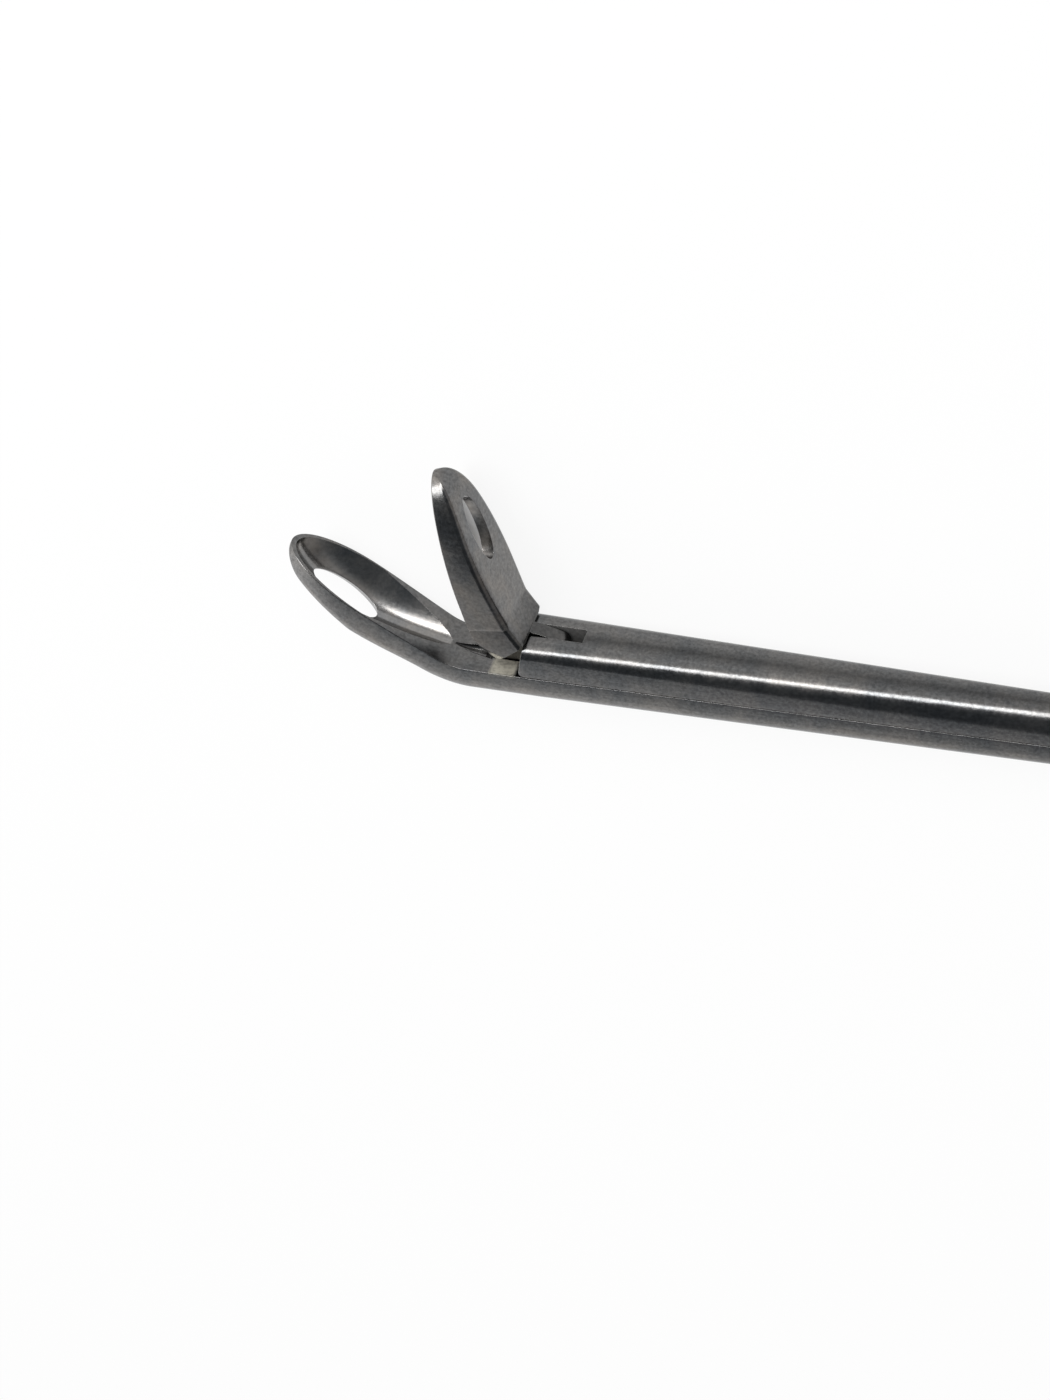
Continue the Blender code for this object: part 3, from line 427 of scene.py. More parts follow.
def rounded_section(half_top, half_bottom, height, top_round, bottom_round, bottom_power=1):
    """Loop of (z, depth) round a bar, with elliptic corners, or flat lower ones at a power of 2."""
    corners = (
        (half_top, 0.0, top_round, 1, 0),
        (half_top, 0.0, top_round, 1, 1),
        (half_bottom, -height, bottom_round, bottom_power, 2),
        (half_bottom, -height, bottom_round, bottom_power, 3),
    )
    loop = []
    for half, level, (rz, ry), power, quarter in corners:
        side = 1 if quarter in (0, 3) else -1
        rise = 1 if quarter < 2 else -1
        for k in range(CORNER_STEPS + 1):
            angle = math.pi / 2 * (quarter + k / CORNER_STEPS)
            across = abs(math.cos(angle)) ** power
            along = abs(math.sin(angle)) ** power
            loop.append((side * (half - rz + rz * across), level + rise * (ry * along - ry)))
    return loop


def ease(share):
    share = min(max(share, 0.0), 1.0)
    return share * share * (3 - 2 * share)


def mix(a, b, share):
    return a + (b - a) * share


def shaft_half_width(x):
    taper = min(max((x - HEAD_END) / (TAPER_END - HEAD_END), 0.0), 1.0)
    rear = ease((x - REAR_START) / (REAR_FULL - REAR_START))
    return mix(mix(HEAD_WIDTH, SHAFT_WIDTH, taper), REAR_WIDTH, rear) / 2


def mating_line(s):
    """Point and heading at a distance ahead of the pivot, along the land, the bend and the rim."""
    if s <= ARC_START:
        return Vector((-s, LAND)), 0.0
    turned = min((s - ARC_START) / BEND_RADIUS, BEND_ANGLE)
    x = -ARC_START - BEND_RADIUS * math.sin(turned)
    y = LAND + BEND_RADIUS * (1 - math.cos(turned))
    left = max(s - ARC_START - ARC_LENGTH, 0.0)
    return Vector((x - left * math.cos(turned), y + left * math.sin(turned))), turned


def along_rim(t):
    """Distance ahead of the pivot of a place on the rim."""
    return RIM_START + t


def nose(t, length, start, power):
    """Share of the full depth that is left at a place on the rounded nose."""
    share = min(max((t - start) / (length - start), 0.0), 1.0)
    return (1 - share**power) ** (1 / power)


def rim_half_width(t, length, width, widest_at):
    widening = mix(HEAD_WIDTH, width, ease(t / widest_at)) / 2
    share = min(max((t - widest_at) / (length - widest_at), 0.0), 1.0)
    return widening * math.sqrt(1 - share * share)


def jaw_stations(length):
    """Places along the rim, closer together toward the tip."""
    last = math.pi / 2 - TIP_FLAT
    return [length * math.sin(last * k / JAW_STEPS) for k in range(1, JAW_STEPS + 1)]


def cup_shares(t, end):
    """Shares of the cup's width and depth: a ramp behind its middle, and a bowl ahead."""
    if t < CUP_MIDDLE:
        share = (t - CUP_START) / (CUP_MIDDLE - CUP_START)
        return share**CUP_TAPER, 1 - (1 - share) ** CUP_RAMP
    share = (t - CUP_MIDDLE) / (end - CUP_MIDDLE)
    left = math.sqrt(1 - share * share)
    return left, left**CUP_BOWL


def hollow_section(half, depth, curve=1.0):
    """Loop of (z, depth) of a round-bottomed hollow, with straight walls above its top line."""
    turns = [math.pi * k / CUP_SIDES for k in range(CUP_SIDES + 1)]
    section = [(half * math.cos(a), depth * math.sin(a) ** curve) for a in turns]
    return section + [(-half, -CUP_LIFT), (half, -CUP_LIFT)]


def cup_cutter(side, depth, foot, end):
    """Spoon-shaped hollow from a foot above the rim line, with straight walls past it."""
    centre, turned = mating_line(along_rim(CUP_MIDDLE))
    ahead = Vector((-math.cos(turned), math.sin(turned)))
    up = Vector((math.sin(turned), math.cos(turned)))
    last = math.pi / 2 - TIP_FLAT
    shares = [mix(CUP_APEX, 1.0, k / CUP_STEPS) ** 2 for k in range(CUP_STEPS)]
    places = [mix(CUP_START, CUP_MIDDLE, share) for share in shares]
    places += [mix(CUP_MIDDLE, end, math.sin(last * k / CUP_STEPS)) for k in range(CUP_STEPS + 1)]
    loops = []
    for t in places:
        wide, deep = cup_shares(t, end)
        loop = []
        for z, level in hollow_section(wide * CUP_WIDTH / 2, depth * deep, CUP_CURVE):
            point = centre + ahead * (t - CUP_MIDDLE) + up * (side * (foot + level))
            loop.append((point.x, point.y, z))
        loops.append(loop)
    return loft(loops)


def groove_cutter():
    """Pointed groove along the land, from the front of the tongue slot toward the cup."""
    loops = []
    for k in range(GROOVE_STEPS + 1):
        share = mix(CUP_APEX, 1.0, k / GROOVE_STEPS)
        middle, turned = mating_line(mix(GROOVE_FRONT, GROOVE_REAR, share))
        up = Vector((math.sin(turned), math.cos(turned)))
        loop = []
        for z, level in hollow_section(share * GROOVE_WIDTH / 2, share * GROOVE_DEPTH):
            point = middle - up * level
            loop.append((point.x, point.y, z))
        loops.append(loop)
    return loft(loops)


def window_cutter(side, flare):
    """Oval window through the cup's floor, which may widen toward the outside."""
    centre, turned = mating_line(along_rim(WINDOW_CENTRE))
    unit = circle(0.0, 0.0, 1.0, WINDOW_STEPS)
    outside = 2 * UPPER_BASE_DEPTH
    loops = []
    levels = ((0.0, 0.0), (WINDOW_DEPTH, 0.0), (outside, flare * (outside - WINDOW_DEPTH)))
    for level, spread in levels:
        half_long = WINDOW_LENGTH / 2 + spread
        half_wide = WINDOW_WIDTH / 2 + spread
        loops.append([(x * half_long, side * level, z * half_wide) for x, z in unit])
    bm = loft(loops)
    place = Matrix.Translation((centre.x, centre.y, 0.0)) @ Matrix.Rotation(-turned, 4, "Z")
    bmesh.ops.transform(bm, matrix=place, verts=bm.verts)
    return bm


def cross_hole(diameter, x=0.0, y=0.0, end=HANDLE_WIDTH):
    """Hole across the part from its far side, right through or to a blind end."""
    return prism(circle(x, y, diameter / 2 + PIN_GAP), -HANDLE_WIDTH, end)


def upright_hole(diameter, x, low, high):
    return upright(circle(x, 0.0, diameter / 2 + PIN_GAP), low, high)


def cam_path(pin_x, pin_y, swing):
    """Places that a cross pin takes in a piece that swings while the slide bar travels."""
    places = []
    for k in range(CAM_STEPS + 1):
        pin = Vector((pin_x - SLIDE_TRAVEL * k / CAM_STEPS, pin_y))
        turned = Matrix.Rotation(-swing * k / CAM_STEPS, 2) @ pin
        places.append((turned.x, turned.y))
    return places


def round_path(path, radius):
    """Convex outline of a disc moved along a path."""
    return hull([p for x, y in path for p in circle(x, y, radius)])


def lower_section(s):
    """Loop of the fixed bar or of the lower jaw at a distance ahead of the pivot."""
    point, turned = mating_line(s)
    t = s - RIM_START
    if t <= 0.0:
        half = shaft_half_width(point.x)
        height = FIXED_BAR_HEIGHT
    else:
        half = rim_half_width(t, LOWER_LENGTH, LOWER_WIDTH, LOWER_WIDEST_AT)
        deep = mix(FIXED_BAR_HEIGHT, LOWER_DEPTH, ease(t / CUP_MIDDLE))
        deep = mix(deep, LOWER_NOSE_DEPTH, max(t - CUP_MIDDLE, 0.0) / (LOWER_LENGTH - CUP_MIDDLE))
        height = deep * nose(t, LOWER_LENGTH, LOWER_NOSE_START, LOWER_NOSE_POWER)
    belly = ease(t / CUP_MIDDLE)
    rz = mix(FIXED_EDGE_ROUND, BELLY_ROUND * half, belly)
    ry = mix(FIXED_EDGE_ROUND, BELLY_ROUND * height, belly)
    edge = min(mix(EDGE_BREAK, RIM_EDGE, belly), half / EDGE_PARTS, height / EDGE_PARTS)
    under = (min(rz, half), min(ry, height - edge))
    loop = rounded_section(half, half, height, (edge, edge), under)
    up = Vector((math.sin(turned), math.cos(turned)))
    return [(point.x + d * up.x, point.y + d * up.y, z) for z, d in loop]


def make_fixed_bar(body_steel, cup_steel):
    """Lower bar with the lower jaw, slotted for the jaw's tongue and for the drive arm."""
    rear = [BAR_END, REAR_FULL] + [mix(REAR_FULL, REAR_START, share) for share in REAR_SHARES]
    places = [-x for x in rear + [REAR_START, TAPER_END, HEAD_END]]
    places += [ARC_START + ARC_LENGTH * k / BEND_STEPS for k in range(BEND_STEPS + 1)]
    rim = [along_rim(t) for t in jaw_stations(LOWER_LENGTH)]
    bend_end = places[-1]
    places += [s for s in rim if s > bend_end + EDGE_BREAK]
    bar = to_object("fixed_bar", loft([lower_section(s) for s in places]), body_steel)
    cup = cup_cutter(-1, LOWER_CUP_DEPTH, 0.0, LOWER_CUP_END)
    combine(bar, cup, "DIFFERENCE", "cup", cup_steel)
    combine(bar, window_cutter(-1, LOWER_WINDOW_FLARE), "DIFFERENCE", "window")
    half_slot = TONGUE_SLOT_WIDTH / 2
    reach = 2 * FIXED_BAR_HEIGHT
    slot = box(-HINGE_SLOT_FRONT, HINGE_SLOT_REAR, -reach, reach, -half_slot, half_slot)
    combine(bar, slot, "DIFFERENCE", "tongue_slot")
    combine(bar, groove_cutter(), "DIFFERENCE", "groove")
    combine(bar, cross_hole(PIVOT_DIAMETER, end=BLIND_END), "DIFFERENCE", "pivot_hole")
    half_arm = ARM_SLOT_WIDTH / 2
    arm_slot = box(ARM_SLOT_FRONT, ARM_SLOT_REAR, -reach, reach, -half_arm, half_arm)
    combine(bar, arm_slot, "DIFFERENCE", "arm_slot")
    for number, x in enumerate(GUIDE_PLACES):
        hole = upright_hole(STUD_DIAMETER, x, -reach, reach)
        combine(bar, hole, "DIFFERENCE", f"stud_hole_{number}")
    for number, x in enumerate(RIVET_PLACES):
        hole = upright_hole(RIVET_DIAMETER, x, -reach, reach)
        combine(bar, hole, "DIFFERENCE", f"rivet_hole_{number}")
    return bar


def slide_section(x, lean, lift):
    """Loop of the slide bar, leaning back from its foot, with its foot lifted."""
    half = shaft_half_width(x)
    share = min(max(x / TAPER_END, 0.0), 1.0)
    wide = mix(SLIDE_FRONT_EDGE, SLIDE_EDGE_WIDTH, share)
    round_off = (wide, mix(SLIDE_FRONT_EDGE, SLIDE_EDGE_HEIGHT, share))
    loop = rounded_section(half, half, SLIDE_BAR_HEIGHT - lift, round_off, (EDGE_BREAK, EDGE_BREAK))
    return [(x + lean * (SLIDE_BAR_HEIGHT + d), SLIDE_TOP + d, z) for z, d in loop]


def make_slide_bar(body_steel, slot_lit_steel):
    """Upper bar with the open-front slot, the drive slot and the undercut guide slots."""
    stations = []
    for k in range(FRONT_STEPS + 1):
        angle = math.pi / 2 * k / FRONT_STEPS
        back = SLIDE_FRONT_ROUND * (1 - math.cos(angle))
        lift = SLIDE_FRONT_ROUND * (1 - math.sin(angle))
        stations.append(slide_section(SLIDE_FRONT + back, SLIDE_FRONT_LEAN, lift))
    flats = [SLIDE_SLOT_END, TAPER_END, REAR_START]
    flats += [mix(REAR_START, REAR_FULL, share) for share in REAR_SHARES] + [REAR_FULL, BAR_END]
    stations += [slide_section(x, 0.0, 0.0) for x in flats]
    bar = to_object("slide_bar", loft(stations), body_steel)
    reach = 2 * SLIDE_TOP
    half_slot = TONGUE_SLOT_WIDTH / 2
    slot = box(-reach, SLIDE_SLOT_END, -reach, reach, -half_slot, half_slot)
    # The slot's walls take the lit copy of the steel: painted light in the shaded slot
    combine(bar, slot, "DIFFERENCE", "tail_slot", slot_lit_steel)
    link_hole = cross_hole(LINK_DIAMETER, LINK_REST_X, LINK_HEIGHT, BLIND_END)
    combine(bar, link_hole, "DIFFERENCE", "link_hole")
    half_arm = ARM_SLOT_WIDTH / 2
    arm_reach = DRIVE_DIAMETER / 2 + CAM_GAP + DRIVE_WALL + SLIDE_TRAVEL
    pocket = box(DRIVE_X - arm_reach, DRIVE_X + arm_reach, -reach, reach, -half_arm, half_arm)
    combine(bar, pocket, "DIFFERENCE", "arm_pocket")
    combine(bar, cross_hole(DRIVE_DIAMETER, DRIVE_X, DRIVE_HEIGHT), "DIFFERENCE", "drive_hole")
    for number, x in enumerate(GUIDE_PLACES):
        ends = [(x, 0.0), (x + SLIDE_TRAVEL, 0.0)]
        stem = round_path(ends, STUD_DIAMETER / 2 + CAM_GAP)
        head = round_path(ends, STUD_HEAD_DIAMETER / 2 + CAM_GAP)
        lip = SLIDE_BOTTOM + STUD_LIP
        ceiling = lip + STUD_HEAD_HEIGHT + 2 * RUNNING_GAP
        combine(bar, upright(stem, -reach, ceiling), "DIFFERENCE", f"stem_slot_{number}")
        combine(bar, upright(head, lip, ceiling), "DIFFERENCE", f"head_slot_{number}")
    return bar


def back_point(t):
    """Place on the upper jaw's back, in the closed jaw's frame."""
    point, turned = mating_line(along_rim(t))
    deep = mix(UPPER_BASE_DEPTH, UPPER_NOSE_DEPTH, t / UPPER_NOSE_START)
    deep *= nose(t, UPPER_LENGTH, UPPER_NOSE_START, UPPER_NOSE_POWER)
    up = Vector((math.sin(turned), math.cos(turned)))
    return point + up * max(deep, BACK_LEAST)


def upper_section(mating, back, half, mating_corner, back_round):
    """Loop of the upper jaw between a place on its mating side and a place on its back."""
    height = (back - mating).length
    along = (back - mating) / height
    back_half = half + min(BACK_SPREAD, half / EDGE_PARTS)
    top = (back_round, back_round)
    loop = rounded_section(back_half, half, height, top, mating_corner, bottom_power=2)
    return [(back.x + d * along.x, back.y + d * along.y, z) for z, d in loop]


def upper_mating(s):
    """Place on the upper jaw's mating side at a distance ahead of the pivot."""
    point, turned = mating_line(s)
    return point + Vector((math.sin(turned), math.cos(turned))) * JAW_GAP


def knuckle_loops():
    """Loops of the upper jaw's base, chamfered at its rear end and along its mating side."""
    base_end = along_rim(UPPER_BASE_LENGTH)
    shoulder = Vector((-UPPER_BASE_FRONT, UPPER_BASE_HEIGHT))
    places = [UPPER_BASE_FRONT]
    first = UPPER_BASE_FRONT + KNUCKLE_END
    places += [mix(first, base_end, k / BASE_STEPS) for k in range(BASE_STEPS)]
    loops = []
    for s in places:
        share = (s - UPPER_BASE_FRONT) / (base_end - UPPER_BASE_FRONT)
        back = shoulder.lerp(back_point(UPPER_BASE_LENGTH), share)
        fade = max(1 - (s - UPPER_BASE_FRONT) / KNUCKLE_LENGTH, 0.0)
        corner = (mix(RIM_EDGE, KNUCKLE_WIDTH, fade), mix(RIM_EDGE, KNUCKLE_HEIGHT, fade))
        half = HEAD_WIDTH / 2
        if s == UPPER_BASE_FRONT:
            half -= KNUCKLE_WIDTH
        loops.append(upper_section(upper_mating(s), back, half, corner, BACK_EDGE))
    return loops


def upper_loop(t):
    """Loop of the upper jaw at a place on its rim, with a back that rounds over toward the nose."""
    mating = upper_mating(along_rim(t))
    back = back_point(t)
    half = rim_half_width(t, UPPER_LENGTH, UPPER_WIDTH, UPPER_WIDEST_AT)
    height = (back - mating).length
    soft = ease((t - CUP_MIDDLE) / (UPPER_LENGTH - CUP_MIDDLE))
    back_round = mix(BACK_EDGE, NOSE_ROUND * min(half, height), soft)
    rim_edge = min(RIM_EDGE, half / EDGE_PARTS, height / RIM_PARTS)
    return upper_section(mating, back, half, (rim_edge, rim_edge), back_round)


def make_upper_jaw(body_steel, cup_steel, tongue_steel):
    """Cup jaw with its tongue, made in the closed pose and turned open about the pivot."""
    places = [UPPER_BASE_LENGTH]
    places += [t for t in jaw_stations(UPPER_LENGTH) if t > UPPER_BASE_LENGTH + EDGE_BREAK]
    loops = knuckle_loops() + [upper_loop(t) for t in places]
    jaw = to_object("upper_jaw", loft(loops), body_steel, turn=-JAW_OPENING)
    closed = Matrix.Rotation(JAW_OPENING, 2)
    path = [tuple(closed @ Vector(p)) for p in cam_path(LINK_REST_X, LINK_HEIGHT, JAW_OPENING)]
    lobe = LINK_DIAMETER / 2 + CAM_GAP + LINK_WALL
    root_x = UPPER_BASE_FRONT + HUB_RADIUS
    root = [(-root_x, LAND + ROOT_FRONT_LIFT), (-root_x, TONGUE_HEIGHT)]
    root.append((-UPPER_BASE_FRONT - JAW_GAP, LAND + ROOT_REAR_LIFT))
    hub = circle(0.0, 0.0, HUB_RADIUS) + circle(*TOE_PLACE, TOE_RADIUS)
    tail = closed @ Vector(TAIL_PLACE)
    outline = hull(hub + round_path(path, lobe) + circle(tail.x, tail.y, TAIL_ROUND) + root)
    cup = cup_cutter(1, UPPER_CUP_DEPTH, JAW_GAP, UPPER_CUP_END)
    combine(jaw, cup, "DIFFERENCE", "cup", cup_steel)
    combine(jaw, window_cutter(1, 0.0), "DIFFERENCE", "window")
    tongue = prism(outline, -TONGUE_WIDTH / 2, TONGUE_WIDTH / 2)
    combine(jaw, tongue, "UNION", "tongue", tongue_steel)
    combine(jaw, cross_hole(PIVOT_DIAMETER), "DIFFERENCE", "pivot_hole")
    cam = prism(round_path(path, LINK_DIAMETER / 2 + CAM_GAP), -TONGUE_WIDTH, TONGUE_WIDTH)
    combine(jaw, cam, "DIFFERENCE", "cam_slot")
    return jaw


def ring_loops(centre, heading):
    """Loops of an oval finger ring whose long side lies along the heading."""
    half_long = (RING_INNER_LENGTH + RING_WIRE) / 2
    half_short = (RING_INNER_WIDTH + RING_WIRE) / 2
    turn = Matrix.Rotation(heading, 2)
    loops = []
    for k in range(RING_STEPS):
        a = 2 * math.pi * k / RING_STEPS
        middle = Vector((half_long * math.cos(a), half_short * math.sin(a)))
        outward = Vector((half_short * math.cos(a), half_long * math.sin(a))).normalized()
        loop = []
        for j in range(WIRE_STEPS):
            b = 2 * math.pi * j / WIRE_STEPS
            place = centre + turn @ (middle + outward * (RING_WIRE / 2 * math.cos(b)))
            loop.append((place.x, place.y, ring_height(b)))
        loops.append(loop)
    return loops


def ring_height(b):
    """Height on the ring's wire, whose two faces are ground flat to the handles' width."""
    return max(-1.0, min(1.0, RING_FLAT * math.sin(b))) * HANDLE_WIDTH / 2


def shank_loops(start, start_pull, end, end_pull):
    """Loops along a curved shank that tapers toward its ring."""
    first = start + start_pull
    last = end - end_pull
    loops = []
    for k in range(SHANK_STEPS + 1):
        u = k / SHANK_STEPS
        v = 1 - u
        place = start * v**3 + first * (3 * v * v * u) + last * (3 * v * u * u) + end * u**3
        way = (first - start) * v * v + (last - first) * 2 * v * u + (end - last) * u * u
        across = Vector((-way.y, way.x)).normalized()
        width = mix(SHANK_TOP_WIDTH, SHANK_END_WIDTH, u)
        corner = (SHANK_ROUND, SHANK_ROUND_SHARE * width)
        section = rounded_section(HANDLE_WIDTH / 2, HANDLE_WIDTH / 2, width, corner, corner)
        loop = []
        for z, d in section:
            point = place + across * (d + width / 2)
            loop.append((point.x, point.y, z))
        loops.append(loop)
    return loops


def on_ray(angle, distance):
    return Vector((math.cos(angle), math.sin(angle))) * distance


def make_rear_handle(body_steel):
    """Fixed handle: a slotted box under the bars, a shank and the thumb ring."""
    top = BAR_BOTTOM - SEAT_GAP
    half = HANDLE_WIDTH / 2
    pivot = Vector((HANDLE_X, -HANDLE_DROP))
    body = box(BOX_FRONT, BOX_REAR, -BOX_BOTTOM, top, -half, half)
    bmesh.ops.bevel(
        body, geom=body.edges[:], offset=BOX_EDGE, segments=BOX_EDGE_STEPS,
        profile=BOX_EDGE_PROFILE, affect="EDGES",
    )
    handle = to_object("rear_handle", body, body_steel)
    centre = pivot + on_ray(REAR_RING_ANGLE, RING_DISTANCE)
    reach = (RING_INNER_LENGTH + RING_WIRE) / 2
    start = Vector((BOX_REAR - SHANK_TOP_WIDTH, (top - BOX_BOTTOM) / 2))
    end = centre - on_ray(REAR_RING_ANGLE, reach)
    pull = (end - start).length / SHANK_PULL_PARTS
    first = Vector((pull, -pull / SHANK_DROP_PARTS))
    shank = shank_loops(start, first, end, on_ray(REAR_RING_ANGLE, pull))
    combine(handle, loft(shank), "UNION", "shank")
    combine(handle, loft(ring_loops(centre, REAR_RING_ANGLE), closed=True), "UNION", "ring")
    half_arm = ARM_SLOT_WIDTH / 2
    slot = box(ARM_SLOT_FRONT, ARM_SLOT_REAR, -2 * BOX_BOTTOM, -2 * BAR_BOTTOM, -half_arm, half_arm)
    combine(handle, slot, "DIFFERENCE", "arm_slot")
    combine(handle, cross_hole(PIVOT_SCREW_DIAMETER, *pivot), "DIFFERENCE", "screw_hole")
    sink = circle(pivot.x, pivot.y, SCREW_HEAD_DIAMETER / 2 + PIN_GAP)
    floor = half - SCREW_HEAD_HEIGHT - SEAT_GAP
    combine(handle, prism(sink, floor, HANDLE_WIDTH), "DIFFERENCE", "screw_seat")
    for number, x in enumerate(RIVET_PLACES):
        hole = upright_hole(RIVET_DIAMETER, x, BAR_BOTTOM - RIVET_DEPTH - SEAT_GAP, LAND)
        combine(handle, hole, "DIFFERENCE", f"rivet_hole_{number}")
    return handle


def make_front_handle(body_steel):
    """Moving handle, made about its own pivot: drive arm, shank and finger ring."""
    path = cam_path(DRIVE_X - HANDLE_X, HANDLE_ARM, HANDLE_SWING)
    lobe = DRIVE_DIAMETER / 2 + CAM_GAP + DRIVE_WALL
    waist = on_ray(FRONT_RING_ANGLE, SHANK_TOP_GAP + BOX_EDGE)
    outline = hull(
        circle(0.0, 0.0, ARM_HUB_RADIUS)
        + round_path(path, lobe)
        + circle(waist.x, waist.y, SHANK_TOP_WIDTH / WAIST_PARTS)
    )
    arm = prism(outline, -ARM_WIDTH / 2, ARM_WIDTH / 2)
    handle = to_object("front_handle", arm, body_steel, (HANDLE_X, -HANDLE_DROP))
    centre = on_ray(FRONT_RING_ANGLE, RING_DISTANCE)
    reach = (RING_INNER_LENGTH + RING_WIRE) / 2
    start = on_ray(FRONT_RING_ANGLE, SHANK_TOP_GAP)
    end = centre - on_ray(FRONT_RING_ANGLE, reach)
    pull = on_ray(FRONT_RING_ANGLE, (end - start).length / SHANK_PULL_PARTS)
    shank = shank_loops(start, pull, end, pull)
    combine(handle, loft(shank), "UNION", "shank")
    combine(handle, loft(ring_loops(centre, FRONT_RING_ANGLE), closed=True), "UNION", "ring")
    combine(handle, cross_hole(PIVOT_SCREW_DIAMETER), "DIFFERENCE", "screw_hole")
    cam = prism(round_path(path, DRIVE_DIAMETER / 2 + CAM_GAP), -ARM_WIDTH, ARM_WIDTH)
    combine(handle, cam, "DIFFERENCE", "cam_slot")
    return handle


def node(tree, kind, **values):
    """New node with its inputs set by name."""
    made = tree.nodes.new(kind)
    for name, value in values.items():
        made.inputs[name.replace("_", " ")].default_value = value
    return made


def maths(tree, operation, first, second, clamp=False):
    made = tree.nodes.new("ShaderNodeMath")
    made.operation = operation
    made.use_clamp = clamp
    for socket, value in zip(made.inputs, (first, second)):
        if isinstance(value, float):
            socket.default_value = value
        else:
            tree.links.new(value, socket)
    return made.outputs["Value"]


def span(tree, value, low, high, new_low, new_high):
    """Value mapped from one range to another, clamped."""
    made = node(
        tree, "ShaderNodeMapRange",
        From_Min=low, From_Max=high, To_Min=new_low, To_Max=new_high,
    )
    tree.links.new(value, made.inputs["Value"])
    return made.outputs["Result"]


def ramp(tree, share, low, high):
    """Share from 0 to 1 mapped to a range."""
    return span(tree, share, 0.0, 1.0, low, high)


def share_of(tree, value, low, high):
    """How far a value is through a range, from 0 to 1."""
    return span(tree, value, low, high, 0.0, 1.0)


def blend(tree, share, first, second):
    """Colour mixed between two colours by a share."""
    made = tree.nodes.new("ShaderNodeMix")
    made.data_type = "RGBA"
    tree.links.new(share, made.inputs["Factor"])
    for socket, value in zip(made.inputs[MIX_INPUTS], (first, second)):
        if isinstance(value, tuple):
            socket.default_value = value
        else:
            tree.links.new(value, socket)
    return made.outputs[MIX_OUTPUT]


def tone(level, warmth=0.0):
    return (level * (1 + warmth), level, level * (1 - warmth), 1.0)


def noise(tree, place, scale, detail, roughness, distortion=0.0):
    made = node(
        tree, "ShaderNodeTexNoise",
        Scale=scale, Detail=detail, Roughness=roughness, Distortion=distortion,
    )
    tree.links.new(place, made.inputs["Vector"])
    return made.outputs["Fac"]


def product(tree, first, *others):
    for value in others:
        first = maths(tree, "MULTIPLY", first, value)
    return first


def within(tree, place, centre, half, soft):
    """Share of a soft-edged box, given in millimetres from the jaw pivot."""
    shifted = tree.nodes.new("ShaderNodeVectorMath")
    shifted.operation = "SUBTRACT"
    tree.links.new(place, shifted.inputs[0])
    shifted.inputs[1].default_value = to_world([c * MM for c in centre])
    size = tree.nodes.new("ShaderNodeVectorMath")
    size.operation = "ABSOLUTE"
    tree.links.new(shifted.outputs[0], size.inputs[0])
    parts = tree.nodes.new("ShaderNodeSeparateXYZ")
    tree.links.new(size.outputs[0], parts.inputs[0])
    shares = []
    for out, h, g in zip(parts.outputs, half, soft):
        shares.append(share_of(tree, out, h * MM + g * MM, h * MM - g * MM))
    return product(tree, *shares)


